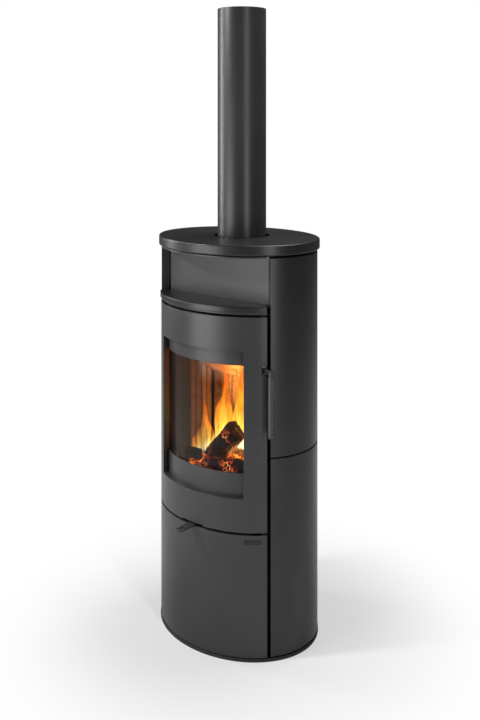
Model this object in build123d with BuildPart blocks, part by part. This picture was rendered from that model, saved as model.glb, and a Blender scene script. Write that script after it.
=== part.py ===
"""Oval free-standing wood stove with ceramic side panels, a glazed door and a warming niche.

Millimetres. The origin is the centre of the base on the floor, +Z is up, the door faces -Y,
and +X is the side of the door handle. Every curved sheet follows the same oval plan: an inset
of 4 means an ellipse whose two half axes are 4 mm shorter than those of the body.
"""

import os
from math import atan2, cos, degrees, radians, sin, sqrt

from build123d import *

os.makedirs("parts", exist_ok=True)

# Plan of the body
HALF_WIDTH = 257.0
HALF_DEPTH = 210.0
DOOR_EDGE_ANGLE = 36.0
PANEL_FRONT_ANGLE = 33.4
PANEL_REAR_ANGLE = 44.0
COVER_ANGLE = 46.0
CASING_FRONT_ANGLE = 25.0
REACH = 450.0

# Heights of the visible stack, from the floor up
BASE_THICKNESS = 8.0
BASE_LIP = 1.5
COVER_GAP = 3.0
LOWER_DOOR_TOP = 356.0
DOOR_BOTTOM = 363.0
DOOR_TOP = 971.0
ROOF_BOTTOM = 974.0
ROOF_THICKNESS = 4.0
SHELF_PLATE = 4.0
SHELF_SLAB = 18.0
SHELF_PROUD = 3.0
PANEL_SEAM = 572.0
PANEL_SEAM_GAP = 2.0
PANEL_TOP = 1138.0
TOP_PLATE_BOTTOM = 1137.0
TOP_PLATE = 4.0
PAD_HEIGHT = 3.0
SLAB_THICKNESS = 30.0
SLAB_OVERHANG = 7.0
NICHE_DEPTH_Y = -96.0

# Skins and the spaces between them, as insets from the body's oval
DOOR_SKIN = 4.0
REVEAL_DEPTH = 18.0
REVEAL_WALL = 2.0
FRAME_SHEET = 3.0
GLASS_SEAL = 2.0
GLASS = 4.0
FRONT_FRAME_INSET = 32.0
FRONT_FRAME = 4.0
SEAL_CLEARANCE = 0.3
PANEL_THICKNESS = 25.0
BRACKET_GAP = 3.0
CASING_SHEET = 2.5
COVER_SHEET = 2.0
LOWER_SKIN = 3.0
LOWER_RETURN = 14.0

# Door opening, glass and door frame
OPENING_HALF = 157.0
OPENING_BOTTOM = 457.5
OPENING_TOP = 874.0
OPENING_CORNER = 6.0
GLASS_BOTTOM = 523.0
GLASS_TOP = 830.0
GLASS_LAP = 4.0
WINDOW_MARGIN = 1.0
FRAME_HALF = 170.0
FRAME_BOTTOM = 372.0
FRAME_TOP = 962.0
SEAL_WIDTH = 7.5

# Chamber of the firebox
CHAMBER_HALF = 198.0
CHAMBER_REAR = 106.0
CHAMBER_FRONT_HALF = 174.0
CHAMBER_FRONT_Y = -110.0
JAMB_BACK_Y = -80.0
CHAMBER_CHAMFER_X = 23.0
CHAMBER_CHAMFER_Y = 21.0
SHELL_SHEET = 3.0
FLOOR_BOTTOM = 436.0
FLOOR_PLATE = 4.0
BRICK = 20.0
LINING_FACE = 170.0
LINING_REAR_Y = 77.0
LINING_FRONT_Y = -33.0
RIB_DEPTH = 8.0
RIB_WIDTH = 20.0
RIB_PITCH = 26.0
RIB_ROUND = 3.0
LINING_TOP = 905.0
BACK_LINING_TOP = 713.0
BAFFLE_FRONT_Y = -60.0
BAFFLE_FRONT_Z = 840.0
BAFFLE_THICKNESS = 22.0
GRATE_WIDTH = 210.0
GRATE_DEPTH = 140.0
GRATE_Y = -35.0
GRATE_THICKNESS = 12.0

# Flue
PIPE_DIAMETER = 150.0
PIPE_WALL = 2.0
PIPE_LENGTH = 750.0
PIPE_Y = 18.0
PIPE_SEAT_Z = 1120.0
PIPE_FIT = 0.3
SLAB_HOLE = 170.0

# Hinges and latch
HINGE_X = -190.0
HINGE_Y = -122.0
PIN_RADIUS = 4.0
PIN_CLEARANCE = 0.05
KNUCKLE_RADIUS = 8.0
HINGE_PLATE = 5.0
HINGE_WASHER = 0.3
KNUCKLE_HEIGHT = 25.0
LATCH_X = 196.0
LATCH_Y = -119.0
GRIP_X = 237.0
GRIP_Y = -142.0
GRIP_DIAMETER = 19.0
GRIP_LENGTH = 172.0
GRIP_TOP = 812.0
GRIP_WALL = 1.6
ARM_HEIGHT = 15.0
ARM_THICKNESS = 5.0

# Air lever
LEVER_BOTTOM = 358.0
LEVER_THICKNESS = 4.0
LEVER_WIDTH = 24.0
LEVER_TIP_Y = -272.0
LEVER_PIVOT_Y = -60.0
SLOT_HALF = 38.5
SLOT_NOTCH = 3.5
SPIGOT_RADIUS = 52.2
SPIGOT_WALL = 2.0
SPIGOT_STOP = 4.0
SPIGOT_Z = 150.0

BASE_TOP = BASE_THICKNESS
SHELF_BOTTOM = ROOF_BOTTOM + ROOF_THICKNESS + SHELF_PLATE
SHELF_TOP = SHELF_BOTTOM + SHELF_SLAB
SLAB_BOTTOM = TOP_PLATE_BOTTOM + TOP_PLATE + PAD_HEIGHT
FLOOR_TOP = FLOOR_BOTTOM + FLOOR_PLATE
BRICK_TOP = FLOOR_TOP + BRICK
FRAME_INSET = REVEAL_DEPTH
SEAL_INSET = FRAME_INSET + FRAME_SHEET
GLASS_INSET = SEAL_INSET + GLASS_SEAL
GLASS_BACK_INSET = GLASS_INSET + GLASS
CASING_INSET = PANEL_THICKNESS + BRACKET_GAP
PIPE_RADIUS = PIPE_DIAMETER / 2


def oval_point(angle, inset=0.0):
    """A point of the body's oval, moved in along the normal by the inset."""
    x, y = HALF_WIDTH * cos(radians(angle)), HALF_DEPTH * sin(radians(angle))
    nx, ny = x / HALF_WIDTH**2, y / HALF_DEPTH**2
    length = sqrt(nx * nx + ny * ny)
    return (x - inset * nx / length, y - inset * ny / length)


def front_y(x, inset):
    """The y of the front of the inset oval at this x."""
    return -(HALF_DEPTH - inset) * sqrt(1 - (x / (HALF_WIDTH - inset)) ** 2)


def oval_plane(x, z, inset):
    """A plane that touches the front of the inset oval and looks outwards."""
    half_width, half_depth = HALF_WIDTH - inset, HALF_DEPTH - inset
    y = front_y(x, inset)
    normal = Vector(x / half_width**2, y / half_depth**2, 0).normalized()
    return Plane(origin=(x, y, z), x_dir=Vector(0, 0, 1).cross(normal), z_dir=normal)


def oval_ring(outer, inner):
    """The strip between two insets of the body's oval."""
    Ellipse(HALF_WIDTH - outer, HALF_DEPTH - outer)
    Ellipse(HALF_WIDTH - inner, HALF_DEPTH - inner, mode=Mode.SUBTRACT)


def keep_front(angle=DOOR_EDGE_ANGLE):
    """Keeps what lies in front, between two cuts square to the oval."""
    first, last = -180 + angle, -angle
    Polygon(
        oval_point(first, 60), oval_point(first, -30), (-REACH, -REACH),
        (REACH, -REACH), oval_point(last, -30), oval_point(last, 60),
        mode=Mode.INTERSECT,
    )


def keep_right(first, last):
    """Keeps the right-hand side, between two cuts square to the oval."""
    Polygon(
        oval_point(first, 60), oval_point(first, -30), (REACH, -REACH / 3),
        (REACH, REACH / 2), oval_point(last, -30), oval_point(last, 60),
        mode=Mode.INTERSECT,
    )


def keep_rear(angle):
    """Keeps the rear, between two cuts square to the oval."""
    first, last = angle, 180 - angle
    Polygon(
        oval_point(first, 60), oval_point(first, -30), (REACH, 0), (REACH, REACH),
        (-REACH, REACH), (-REACH, 0), oval_point(last, -30), oval_point(last, 60),
        mode=Mode.INTERSECT,
    )


def keep_strip(low_x, high_x):
    """Keeps the front of a plan between two values of x."""
    with Locations(((low_x + high_x) / 2, -REACH / 2)):
        Rectangle(high_x - low_x, REACH, mode=Mode.INTERSECT)


def front_window(half_width, bottom, top, corner=0.0):
    """Cuts an opening straight through the front."""
    with BuildSketch(Plane.XZ.offset(60)) as window:
        with Locations((0, (bottom + top) / 2)):
            if corner:
                RectangleRounded(2 * half_width, top - bottom, corner)
            else:
                Rectangle(2 * half_width, top - bottom)
    extrude(window.sketch, amount=200, mode=Mode.SUBTRACT)


def chamber_plan(inset=0.0):
    """The plan of the firebox, open towards the door."""
    rear = CHAMBER_REAR - inset
    half = CHAMBER_HALF - inset
    front_half = CHAMBER_FRONT_HALF - inset
    right = [
        (front_half, -180), (front_half, CHAMBER_FRONT_Y), (half, JAMB_BACK_Y),
        (half, rear - CHAMBER_CHAMFER_Y), (half - CHAMBER_CHAMFER_X, rear),
    ]
    Polygon(*right, *[(-x, y) for x, y in reversed(right)])


# Base plate: the oval steel floor of the stove, with four tapped holes for levelling.
LEVEL_X = 140.0
LEVEL_Y = 88.0
LEVEL_RADIUS = 5.0
with BuildPart() as base_plate:
    with BuildSketch():
        Ellipse(HALF_WIDTH + BASE_LIP, HALF_DEPTH + BASE_LIP)
        with GridLocations(2 * LEVEL_X, 2 * LEVEL_Y, 2, 2):
            Circle(LEVEL_RADIUS, mode=Mode.SUBTRACT)
    extrude(amount=BASE_THICKNESS)
    chamfer(base_plate.faces().sort_by(Axis.Z)[-1].outer_wire().edges(), 1.0)
base_plate.part.label = "base_plate"

# Levelling screws, turned from inside the lower compartment with a hexagon key.
LEVEL_STANDS = 12.0
with BuildPart() as levelling_screws:
    with BuildSketch():
        with GridLocations(2 * LEVEL_X, 2 * LEVEL_Y, 2, 2):
            Circle(LEVEL_RADIUS)
    extrude(amount=BASE_THICKNESS + LEVEL_STANDS)
    with BuildSketch(Plane.XY.offset(BASE_THICKNESS + LEVEL_STANDS)):
        with GridLocations(2 * LEVEL_X, 2 * LEVEL_Y, 2, 2):
            RegularPolygon(radius=2.9, side_count=6)
    extrude(amount=-6, mode=Mode.SUBTRACT)
levelling_screws.part.label = "levelling_screws"

# Firebox shell: flat plates stood round the chamber and joined at their edges by hairline seams,
# open in front.
SEAM = 0.4
SHELL_SEAMS = (
    (CHAMBER_HALF - SHELL_SHEET / 2, JAMB_BACK_Y, 0),
    (CHAMBER_HALF - SHELL_SHEET / 2, CHAMBER_REAR - CHAMBER_CHAMFER_Y - SHELL_SHEET / 2, 45),
    (CHAMBER_HALF - CHAMBER_CHAMFER_X - SHELL_SHEET / 2, CHAMBER_REAR - SHELL_SHEET / 2, 45),
)
with BuildPart() as firebox_shell:
    with BuildSketch(Plane.XY.offset(BASE_TOP)):
        chamber_plan()
        with BuildSketch(mode=Mode.PRIVATE) as hollow:
            chamber_plan(SHELL_SHEET)
        add(hollow.sketch, mode=Mode.SUBTRACT)
        with Locations((0, (REACH + CHAMBER_FRONT_Y) / 2)):
            Rectangle(2 * REACH, REACH - CHAMBER_FRONT_Y, mode=Mode.INTERSECT)
        for side in (-1, 1):
            for seam_x, seam_y, turn in SHELL_SEAMS:
                with Locations((side * seam_x, seam_y)):
                    Rectangle(3 * SHELL_SHEET, SEAM, rotation=side * turn, mode=Mode.SUBTRACT)
    extrude(amount=ROOF_BOTTOM - BASE_TOP)
    with BuildSketch(Plane.XZ.offset(-CHAMBER_REAR - 1)):
        with Locations((0, SPIGOT_Z)):
            Circle(SPIGOT_RADIUS)
    extrude(amount=SHELL_SHEET + 2, mode=Mode.SUBTRACT)
firebox_shell.part.label = "firebox_shell"


def oval_seams(angles, inset):
    """Hairline cuts square to the oval, where two sheets meet edge to edge."""
    for angle in angles:
        inner, outer = oval_point(angle, inset + 10), oval_point(angle, inset - 10)
        turn = degrees(atan2(outer[1] - inner[1], outer[0] - inner[0]))
        with Locations(oval_point(angle, inset)):
            Rectangle(20, SEAM, rotation=turn, mode=Mode.SUBTRACT)


# Casing: the convection jacket round the sides and the rear, made of rolled sheets that meet at
# hairline seams, with warm air rising behind the panels.
CASING_SEAM_ANGLES = (0, 25, 45, 67, 113, 135, 155, 180)
with BuildPart() as casing:
    with BuildSketch(Plane.XY.offset(BASE_TOP)):
        oval_ring(CASING_INSET, CASING_INSET + CASING_SHEET)
        keep_rear(-CASING_FRONT_ANGLE)
        oval_seams(CASING_SEAM_ANGLES, CASING_INSET)
    extrude(amount=TOP_PLATE_BOTTOM - BASE_TOP)
    with BuildSketch(Plane.XZ.offset(-HALF_DEPTH)):
        with Locations((0, SPIGOT_Z)):
            Circle(SPIGOT_RADIUS)
    extrude(amount=HALF_DEPTH - CHAMBER_REAR, mode=Mode.SUBTRACT)
casing.part.label = "casing"


def side_panel(bottom, top, side):
    """One ceramic tile, rounded all round its outer face."""
    with BuildPart() as panel:
        with BuildSketch(Plane.XY.offset(bottom)):
            oval_ring(0, PANEL_THICKNESS)
            keep_right(-PANEL_FRONT_ANGLE, PANEL_REAR_ANGLE)
        extrude(amount=top - bottom)
        outer_face = panel.faces().filter_by(GeomType.PLANE, reverse=True).sort_by(SortBy.AREA)[-1]
        fillet(outer_face.edges(), PANEL_ROUND)
        if side < 0:
            mirror(about=Plane.YZ, mode=Mode.REPLACE)
    return panel


# Side panels: four thick glazed tiles, two a side, hung on the casing with a joint between them.
PANEL_ROUND = 3.0
PANEL_SPANS = {
    "lower": (BASE_TOP + COVER_GAP, PANEL_SEAM - PANEL_SEAM_GAP / 2),
    "upper": (PANEL_SEAM + PANEL_SEAM_GAP / 2, PANEL_TOP),
}
side_panels = {}
for level, (panel_bottom, panel_end) in PANEL_SPANS.items():
    for side_name, side in (("left", -1), ("right", 1)):
        label = f"side_panel_{level}_{side_name}"
        side_panels[label] = side_panel(panel_bottom, panel_end, side)
        side_panels[label].part.label = label

# Panel brackets: flat hooks on the casing, two at the head and two at the foot of each tile.
HOOK_WIDTH = 40.0
HOOK_HEIGHT = 18.0
HOOK_ANGLES = (-18.0, 30.0)
with BuildPart() as panel_brackets:
    for panel_bottom, panel_end in PANEL_SPANS.values():
        for hook_bottom in (panel_bottom + HOOK_HEIGHT, panel_end - 2 * HOOK_HEIGHT):
            with BuildSketch(Plane.XY.offset(hook_bottom)):
                oval_ring(PANEL_THICKNESS, CASING_INSET)
                with BuildSketch(mode=Mode.PRIVATE) as hook_places:
                    for hook_angle in HOOK_ANGLES:
                        for hook_side in (hook_angle, 180 - hook_angle):
                            with Locations(oval_point(hook_side, CASING_INSET)):
                                Rectangle(HOOK_WIDTH, HOOK_WIDTH)
                add(hook_places.sketch, mode=Mode.INTERSECT)
            extrude(amount=HOOK_HEIGHT)
panel_brackets.part.label = "panel_brackets"

# Rear cover: the curved sheets between the tiles, folded in at both ends to reach the casing and
# joined at hairline seams beside the vents.
COVER_SEAM_ANGLES = (58, 90, 122)
VENT_ROWS = 4
VENT_PITCH = 22.0
VENT_LENGTH = 120.0
VENT_WIDTH = 8.0
VENT_TOP_Z = 1085.0
SPIGOT_MARGIN = 4.0
FLANGE_ANGLE = 0.6
with BuildPart() as rear_cover:
    with BuildSketch(Plane.XY.offset(BASE_TOP + COVER_GAP)):
        oval_ring(0, CASING_INSET)
        keep_rear(COVER_ANGLE)
        with BuildSketch(mode=Mode.PRIVATE) as between_flanges:
            oval_ring(COVER_SHEET, CASING_INSET + 1)
            keep_rear(COVER_ANGLE + FLANGE_ANGLE)
        add(between_flanges.sketch, mode=Mode.SUBTRACT)
        oval_seams(COVER_SEAM_ANGLES, 0)
    extrude(amount=TOP_PLATE_BOTTOM - BASE_TOP - COVER_GAP)
    with BuildSketch(Plane.XZ.offset(-CHAMBER_REAR)):
        with Locations((0, VENT_TOP_Z)):
            with GridLocations(VENT_LENGTH * 1.15, VENT_PITCH, 2, VENT_ROWS):
                Rectangle(VENT_LENGTH, VENT_WIDTH)
        with Locations((0, SPIGOT_Z)):
            Circle(SPIGOT_RADIUS + SPIGOT_MARGIN)
    extrude(amount=-HALF_DEPTH, mode=Mode.SUBTRACT)
rear_cover.part.label = "rear_cover"

# Outside air spigot: the round collar at the rear that takes the combustion air duct.
SPIGOT_END_Y = 208.0
DUCT_HALF = 56.0
DUCT_FRONT_Y = 62.0
with BuildPart() as air_spigot:
    with BuildSketch(Plane.XZ.offset(-(CHAMBER_REAR - SHELL_SHEET))):
        with Locations((0, SPIGOT_Z)):
            Circle(SPIGOT_RADIUS)
            Circle(SPIGOT_RADIUS - SPIGOT_WALL, mode=Mode.SUBTRACT)
    extrude(amount=-(SPIGOT_END_Y - CHAMBER_REAR + SHELL_SHEET))
air_spigot.part.label = "air_spigot"

# Ash box: the tray housing below the firebox floor, open to the door.
ASH_HALF = 122.0
ASH_BOTTOM = 386.0
ASH_FRONT_Y = -146.0
ASH_REAR_Y = 58.0
ASH_SHEET = 2.0
ASH_OPENING_BOTTOM = 390.0
ASH_OPENING_TOP = 431.0
with BuildPart() as ash_box:
    with BuildSketch(Plane.XY.offset(ASH_BOTTOM)):
        with BuildSketch(mode=Mode.PRIVATE) as ash_oval:
            Ellipse(HALF_WIDTH - FRONT_FRAME_INSET - FRONT_FRAME, HALF_DEPTH - FRONT_FRAME_INSET - FRONT_FRAME)
        with Locations((0, (ASH_REAR_Y - REACH) / 2)):
            Rectangle(2 * (ASH_HALF + ASH_SHEET), REACH + ASH_REAR_Y)
        add(ash_oval.sketch, mode=Mode.INTERSECT)
    extrude(amount=FLOOR_BOTTOM - ASH_BOTTOM)
    with BuildSketch(Plane.XY.offset(ASH_BOTTOM + ASH_SHEET)):
        with Locations((0, (ASH_REAR_Y - ASH_SHEET - REACH) / 2)):
            Rectangle(2 * ASH_HALF, REACH + ASH_REAR_Y - ASH_SHEET)
    extrude(amount=FLOOR_BOTTOM, mode=Mode.SUBTRACT)
ash_box.part.label = "ash_box"

# Ash pan: a deep drawer of folded sheet with a pull at its front.
PAN_HEIGHT = 38.0
PAN_SHEET = 1.5
PAN_SIDE_GAP = 4.0
PAN_FRONT_Y = -136.0
PAN_LENGTH = 180.0
with BuildPart() as ash_pan:
    with BuildSketch(Plane.XY.offset(ASH_BOTTOM + ASH_SHEET)):
        with Locations((0, PAN_FRONT_Y + PAN_LENGTH / 2)):
            Rectangle(2 * (ASH_HALF - PAN_SIDE_GAP), PAN_LENGTH)
    extrude(amount=PAN_HEIGHT)
    offset(amount=-PAN_SHEET, openings=ash_pan.faces().sort_by(Axis.Z)[-1])
    with BuildSketch(Plane.XZ.offset(-PAN_FRONT_Y)):
        with Locations((0, ASH_BOTTOM + ASH_SHEET + PAN_HEIGHT / 2)):
            SlotOverall(70, 12)
            SlotOverall(62, 4, mode=Mode.SUBTRACT)
    extrude(amount=3)
ash_pan.part.label = "ash_pan"

# Air box: the flat chest under the ash box, with two ports that the damper plate covers.
AIR_HALF = 90.0
AIR_BOTTOM = 366.0
AIR_SHEET = 2.0
AIR_FRONT_Y = -120.0
PORT_RADIUS = 12.0
PORT_REACH = 34.0
PORT_X = 20.0
with BuildPart() as air_box:
    with BuildSketch(Plane.XY.offset(AIR_BOTTOM)):
        with Locations((0, (AIR_FRONT_Y + DUCT_FRONT_Y) / 2)):
            Rectangle(2 * AIR_HALF, DUCT_FRONT_Y - AIR_FRONT_Y)
    extrude(amount=ASH_BOTTOM - AIR_BOTTOM)
    with BuildSketch(Plane.XY.offset(AIR_BOTTOM + AIR_SHEET)):
        with Locations((0, (AIR_FRONT_Y + AIR_SHEET + DUCT_FRONT_Y) / 2)):
            Rectangle(2 * (AIR_HALF - AIR_SHEET), DUCT_FRONT_Y - AIR_FRONT_Y - AIR_SHEET)
    extrude(amount=ASH_BOTTOM, mode=Mode.SUBTRACT)
    with Locations((PORT_X, LEVER_PIVOT_Y + PORT_REACH, AIR_BOTTOM), (-PORT_X, LEVER_PIVOT_Y + PORT_REACH, AIR_BOTTOM)):
        Cylinder(PORT_RADIUS, 4 * AIR_SHEET, mode=Mode.SUBTRACT)
    with Locations((0, LEVER_PIVOT_Y, AIR_BOTTOM)):
        Cylinder(PIN_RADIUS, 4 * AIR_SHEET, mode=Mode.SUBTRACT)
air_box.part.label = "air_box"

# Air duct: the rectangular riser from the outside air spigot to the air box.
DUCT_SHEET = 2.0
DUCT_BOTTOM = 90.0
DUCT_REAR_Y = CHAMBER_REAR - SHELL_SHEET
with BuildPart() as air_duct:
    with BuildSketch(Plane.XY.offset(DUCT_BOTTOM)):
        with Locations((0, (DUCT_FRONT_Y + DUCT_REAR_Y) / 2)):
            Rectangle(2 * DUCT_HALF, DUCT_REAR_Y - DUCT_FRONT_Y)
    extrude(amount=ASH_BOTTOM - DUCT_BOTTOM)
    with BuildSketch(Plane.XY.offset(DUCT_BOTTOM + DUCT_SHEET)):
        with Locations((0, (DUCT_FRONT_Y + DUCT_REAR_Y) / 2)):
            Rectangle(2 * (DUCT_HALF - DUCT_SHEET), DUCT_REAR_Y - DUCT_FRONT_Y - 2 * DUCT_SHEET)
    extrude(amount=ASH_BOTTOM - DUCT_BOTTOM - 2 * DUCT_SHEET, mode=Mode.SUBTRACT)
    with BuildSketch(Plane.XZ.offset(-DUCT_REAR_Y)):
        with Locations((0, SPIGOT_Z)):
            Circle(SPIGOT_RADIUS - SPIGOT_WALL - SPIGOT_STOP)
    extrude(amount=2 * DUCT_SHEET, mode=Mode.SUBTRACT)
    with BuildSketch(Plane.XZ.offset(-DUCT_FRONT_Y)):
        with Locations((0, (AIR_BOTTOM + ASH_BOTTOM) / 2)):
            Rectangle(2 * (DUCT_HALF - DUCT_SHEET), ASH_BOTTOM - AIR_BOTTOM - 2 * AIR_SHEET)
    extrude(amount=-2 * DUCT_SHEET, mode=Mode.SUBTRACT)
air_duct.part.label = "air_duct"

# Firebox floor: the steel plate that carries the bricks, cut out under the grate.
GRATE_LEDGE = 12.0
with BuildPart() as firebox_floor:
    with BuildSketch(Plane.XY.offset(FLOOR_BOTTOM)):
        with BuildSketch(mode=Mode.PRIVATE) as floor_oval:
            Ellipse(HALF_WIDTH - FRONT_FRAME_INSET - FRONT_FRAME, HALF_DEPTH - FRONT_FRAME_INSET - FRONT_FRAME)
        chamber_plan(SHELL_SHEET)
        add(floor_oval.sketch, mode=Mode.INTERSECT)
        with Locations((0, GRATE_Y)):
            Rectangle(GRATE_WIDTH - 2 * GRATE_LEDGE, GRATE_DEPTH - 2 * GRATE_LEDGE, mode=Mode.SUBTRACT)
    extrude(amount=FLOOR_PLATE)
firebox_floor.part.label = "firebox_floor"

# Linings: refractory slabs with upright ribs, round the back and the two sides of the fire.
SIDE_PLATE_OUT = CHAMBER_HALF - SHELL_SHEET


def ribbed_slab(length, back, face, bottom, top):
    """An upright slab along X, ribbed on its -Y face, whose back stands at y = back."""
    with BuildPart() as slab:
        with BuildSketch(Plane.XY.offset(bottom)) as profile:
            with Locations((0, (face + RIB_DEPTH + back) / 2)):
                Rectangle(length, back - face - RIB_DEPTH)
            with Locations((0, face + RIB_DEPTH / 2)):
                with GridLocations(RIB_PITCH, 1, int((length + RIB_PITCH - RIB_WIDTH) / RIB_PITCH), 1):
                    Rectangle(RIB_WIDTH, RIB_DEPTH)
            fillet(profile.vertices().filter_by(lambda corner: abs(corner.Y - face) < 0.01), RIB_ROUND)
        extrude(amount=top - bottom)
    return slab


lining_back = ribbed_slab(
    2 * LINING_FACE, DUCT_REAR_Y, LINING_REAR_Y, BRICK_TOP, BACK_LINING_TOP
)
lining_back.part.label = "lining_back"

side_length = LINING_REAR_Y - LINING_FRONT_Y
linings = {}
for side_name, side in (("left", -1), ("right", 1)):
    slab = ribbed_slab(side_length, SIDE_PLATE_OUT, LINING_FACE, BRICK_TOP, LINING_TOP)
    middle_y = (LINING_REAR_Y + LINING_FRONT_Y) / 2
    with BuildPart() as lining:
        add(slab.part.rotate(Axis.Z, -90 * side).translate((0, middle_y, 0)))
    lining.part.label = f"lining_{side_name}"
    linings[side_name] = lining

# Floor bricks: two refractory slabs either side of the grate and one behind it.
BRICK_JOINT = 1.0
with BuildPart() as floor_bricks:
    with BuildSketch(Plane.XY.offset(FLOOR_TOP)):
        with BuildSketch(mode=Mode.PRIVATE) as brick_area:
            Ellipse(HALF_WIDTH - FRONT_FRAME_INSET - FRONT_FRAME, HALF_DEPTH - FRONT_FRAME_INSET - FRONT_FRAME)
        chamber_plan(SHELL_SHEET)
        add(brick_area.sketch, mode=Mode.INTERSECT)
        with Locations((0, GRATE_Y)):
            Rectangle(GRATE_WIDTH, GRATE_DEPTH, mode=Mode.SUBTRACT)
        with Locations((GRATE_WIDTH / 2, 0), (-GRATE_WIDTH / 2, 0)):
            Rectangle(BRICK_JOINT, REACH, mode=Mode.SUBTRACT)
    extrude(amount=BRICK)
floor_bricks.part.label = "floor_bricks"

# Grate: cast iron with rows of slots, lying on the ledge of the floor plate.
BAR_PITCH = 16.0
BAR_SLOT = 7.0
BAR_ROWS = 10
GRATE_CLEARANCE = 1.0
with BuildPart() as grate:
    with BuildSketch(Plane.XY.offset(FLOOR_TOP)):
        with Locations((0, GRATE_Y)):
            Rectangle(GRATE_WIDTH - 2 * GRATE_CLEARANCE, GRATE_DEPTH - 2 * GRATE_CLEARANCE)
            with GridLocations(BAR_PITCH, 52, BAR_ROWS, 2):
                SlotOverall(42, BAR_SLOT, rotation=90, mode=Mode.SUBTRACT)
    extrude(amount=GRATE_THICKNESS)
grate.part.label = "grate"

# Baffle: the sloping refractory plate above the fire, resting on the back lining and two ledges.
BAFFLE_HALF = LINING_FACE - 0.5
slope_y = LINING_REAR_Y - BAFFLE_FRONT_Y
slope_z = BAFFLE_FRONT_Z - BACK_LINING_TOP
slope_length = sqrt(slope_y**2 + slope_z**2)
rise_y = BAFFLE_THICKNESS * slope_z / slope_length
rise_z = BAFFLE_THICKNESS * slope_y / slope_length
with BuildPart() as baffle:
    with BuildSketch(Plane.YZ.offset(-BAFFLE_HALF)):
        Polygon(
            (LINING_REAR_Y, BACK_LINING_TOP),
            (BAFFLE_FRONT_Y, BAFFLE_FRONT_Z),
            (BAFFLE_FRONT_Y + rise_y, BAFFLE_FRONT_Z + rise_z),
            (LINING_REAR_Y + rise_y, BACK_LINING_TOP + rise_z),
            (DUCT_REAR_Y - 1, BACK_LINING_TOP + rise_z),
            (DUCT_REAR_Y - 1, BACK_LINING_TOP),
        )
    extrude(amount=2 * BAFFLE_HALF)
baffle.part.label = "baffle"

# Side liners: steel sheets ahead of the ribbed linings, turned out to the firebox shell, each
# with a welded ledge that carries the front of the baffle.
LINER_SHEET = 2.0
LEDGE_WIDTH = 12.0
LEDGE_THICKNESS = 6.0
LEDGE_START = 0.82
LEDGE_END = 0.98
liner_front = CHAMBER_FRONT_Y + SHELL_SHEET + LINER_SHEET
ledge_near = (LINING_REAR_Y - LEDGE_START * slope_y, BACK_LINING_TOP + LEDGE_START * slope_z)
ledge_far = (LINING_REAR_Y - LEDGE_END * slope_y, BACK_LINING_TOP + LEDGE_END * slope_z)
with BuildPart() as side_liners:
    for side in (-1, 1):
        with BuildSketch(Plane.XY.offset(BRICK_TOP)):
            Polygon(
                (side * LINING_FACE, LINING_FRONT_Y),
                (side * LINING_FACE, liner_front),
                (side * (LINING_FACE + LINER_SHEET), liner_front),
                (side * (LINING_FACE + LINER_SHEET), LINING_FRONT_Y - LINER_SHEET),
                (side * SIDE_PLATE_OUT, LINING_FRONT_Y - LINER_SHEET),
                (side * SIDE_PLATE_OUT, LINING_FRONT_Y),
            )
        extrude(amount=LINING_TOP - BRICK_TOP)
        with BuildSketch(Plane.YZ.offset(side * LINING_FACE)):
            Polygon(
                ledge_near, ledge_far, (ledge_far[0], ledge_far[1] - LEDGE_THICKNESS),
                (ledge_near[0], ledge_near[1] - LEDGE_THICKNESS),
            )
        extrude(amount=-side * LEDGE_WIDTH)
side_liners.part.label = "side_liners"

# Logs: split beech on the fire, one propped up, one short and one charred at the front.
LOGS = {
    "log_propped": (35.0, 135.0, (-66, -38, 492), (1.0, 0.0, 1.08)),
    "log_short": (17.0, 56.0, (-148, -66, 496), (1.0, -0.1, 0.05)),
    "log_charred": (25.0, 160.0, (-36, -110, 494), (1.0, 0.12, 0.12)),
}
SPLIT_DEPTH = 0.35
logs = {}
for log_name, (log_radius, log_length, log_start, log_direction) in LOGS.items():
    with BuildPart() as log:
        log_plane = Plane(origin=log_start, x_dir=(0, 0, 1), z_dir=log_direction)
        with BuildSketch(log_plane):
            RegularPolygon(radius=log_radius, side_count=14)
            with Locations((log_radius * (2 - SPLIT_DEPTH), 0)):
                Rectangle(2 * log_radius, 2 * log_radius, mode=Mode.SUBTRACT)
        extrude(amount=log_length)
    log.part.label = log_name
    logs[log_name] = log

# Ember bed: the heap of glowing charcoal, hollowed where the logs lie in it.
BED_HALF_WIDTH = 155.0
BED_HALF_DEPTH = 92.0
BED_HEIGHT = 34.0
BED_Y = -38.0
BED_TAPER = 38.0
with BuildPart() as ember_bed:
    with BuildSketch(Plane.XY.offset(BRICK_TOP)):
        with Locations((0, BED_Y)):
            Ellipse(BED_HALF_WIDTH, BED_HALF_DEPTH)
    extrude(amount=BED_HEIGHT, taper=BED_TAPER)
    for log in logs.values():
        add(log.part, mode=Mode.SUBTRACT)
ember_bed.part.label = "ember_bed"

# Front frame: the steel face of the firebox that the door seals against, with the ash opening below.
FRAME_WINDOW_BOTTOM = 466.0
FRAME_WINDOW_TOP = 864.0
FRONT_FRAME_BOTTOM = 366.0
FRONT_FRAME_TOP = 968.0
FRONT_WINDOW_HALF = 158.0
with BuildPart() as front_frame:
    with BuildSketch(Plane.XY.offset(FRONT_FRAME_BOTTOM)):
        oval_ring(FRONT_FRAME_INSET, FRONT_FRAME_INSET + FRONT_FRAME)
        keep_strip(SHELL_SHEET - CHAMBER_FRONT_HALF, CHAMBER_FRONT_HALF - SHELL_SHEET)
    extrude(amount=FRONT_FRAME_TOP - FRONT_FRAME_BOTTOM)
    front_window(FRONT_WINDOW_HALF, FRAME_WINDOW_BOTTOM, FRAME_WINDOW_TOP, 10)
    front_window(ASH_HALF, ASH_OPENING_BOTTOM, ASH_OPENING_TOP)
front_frame.part.label = "front_frame"

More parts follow.
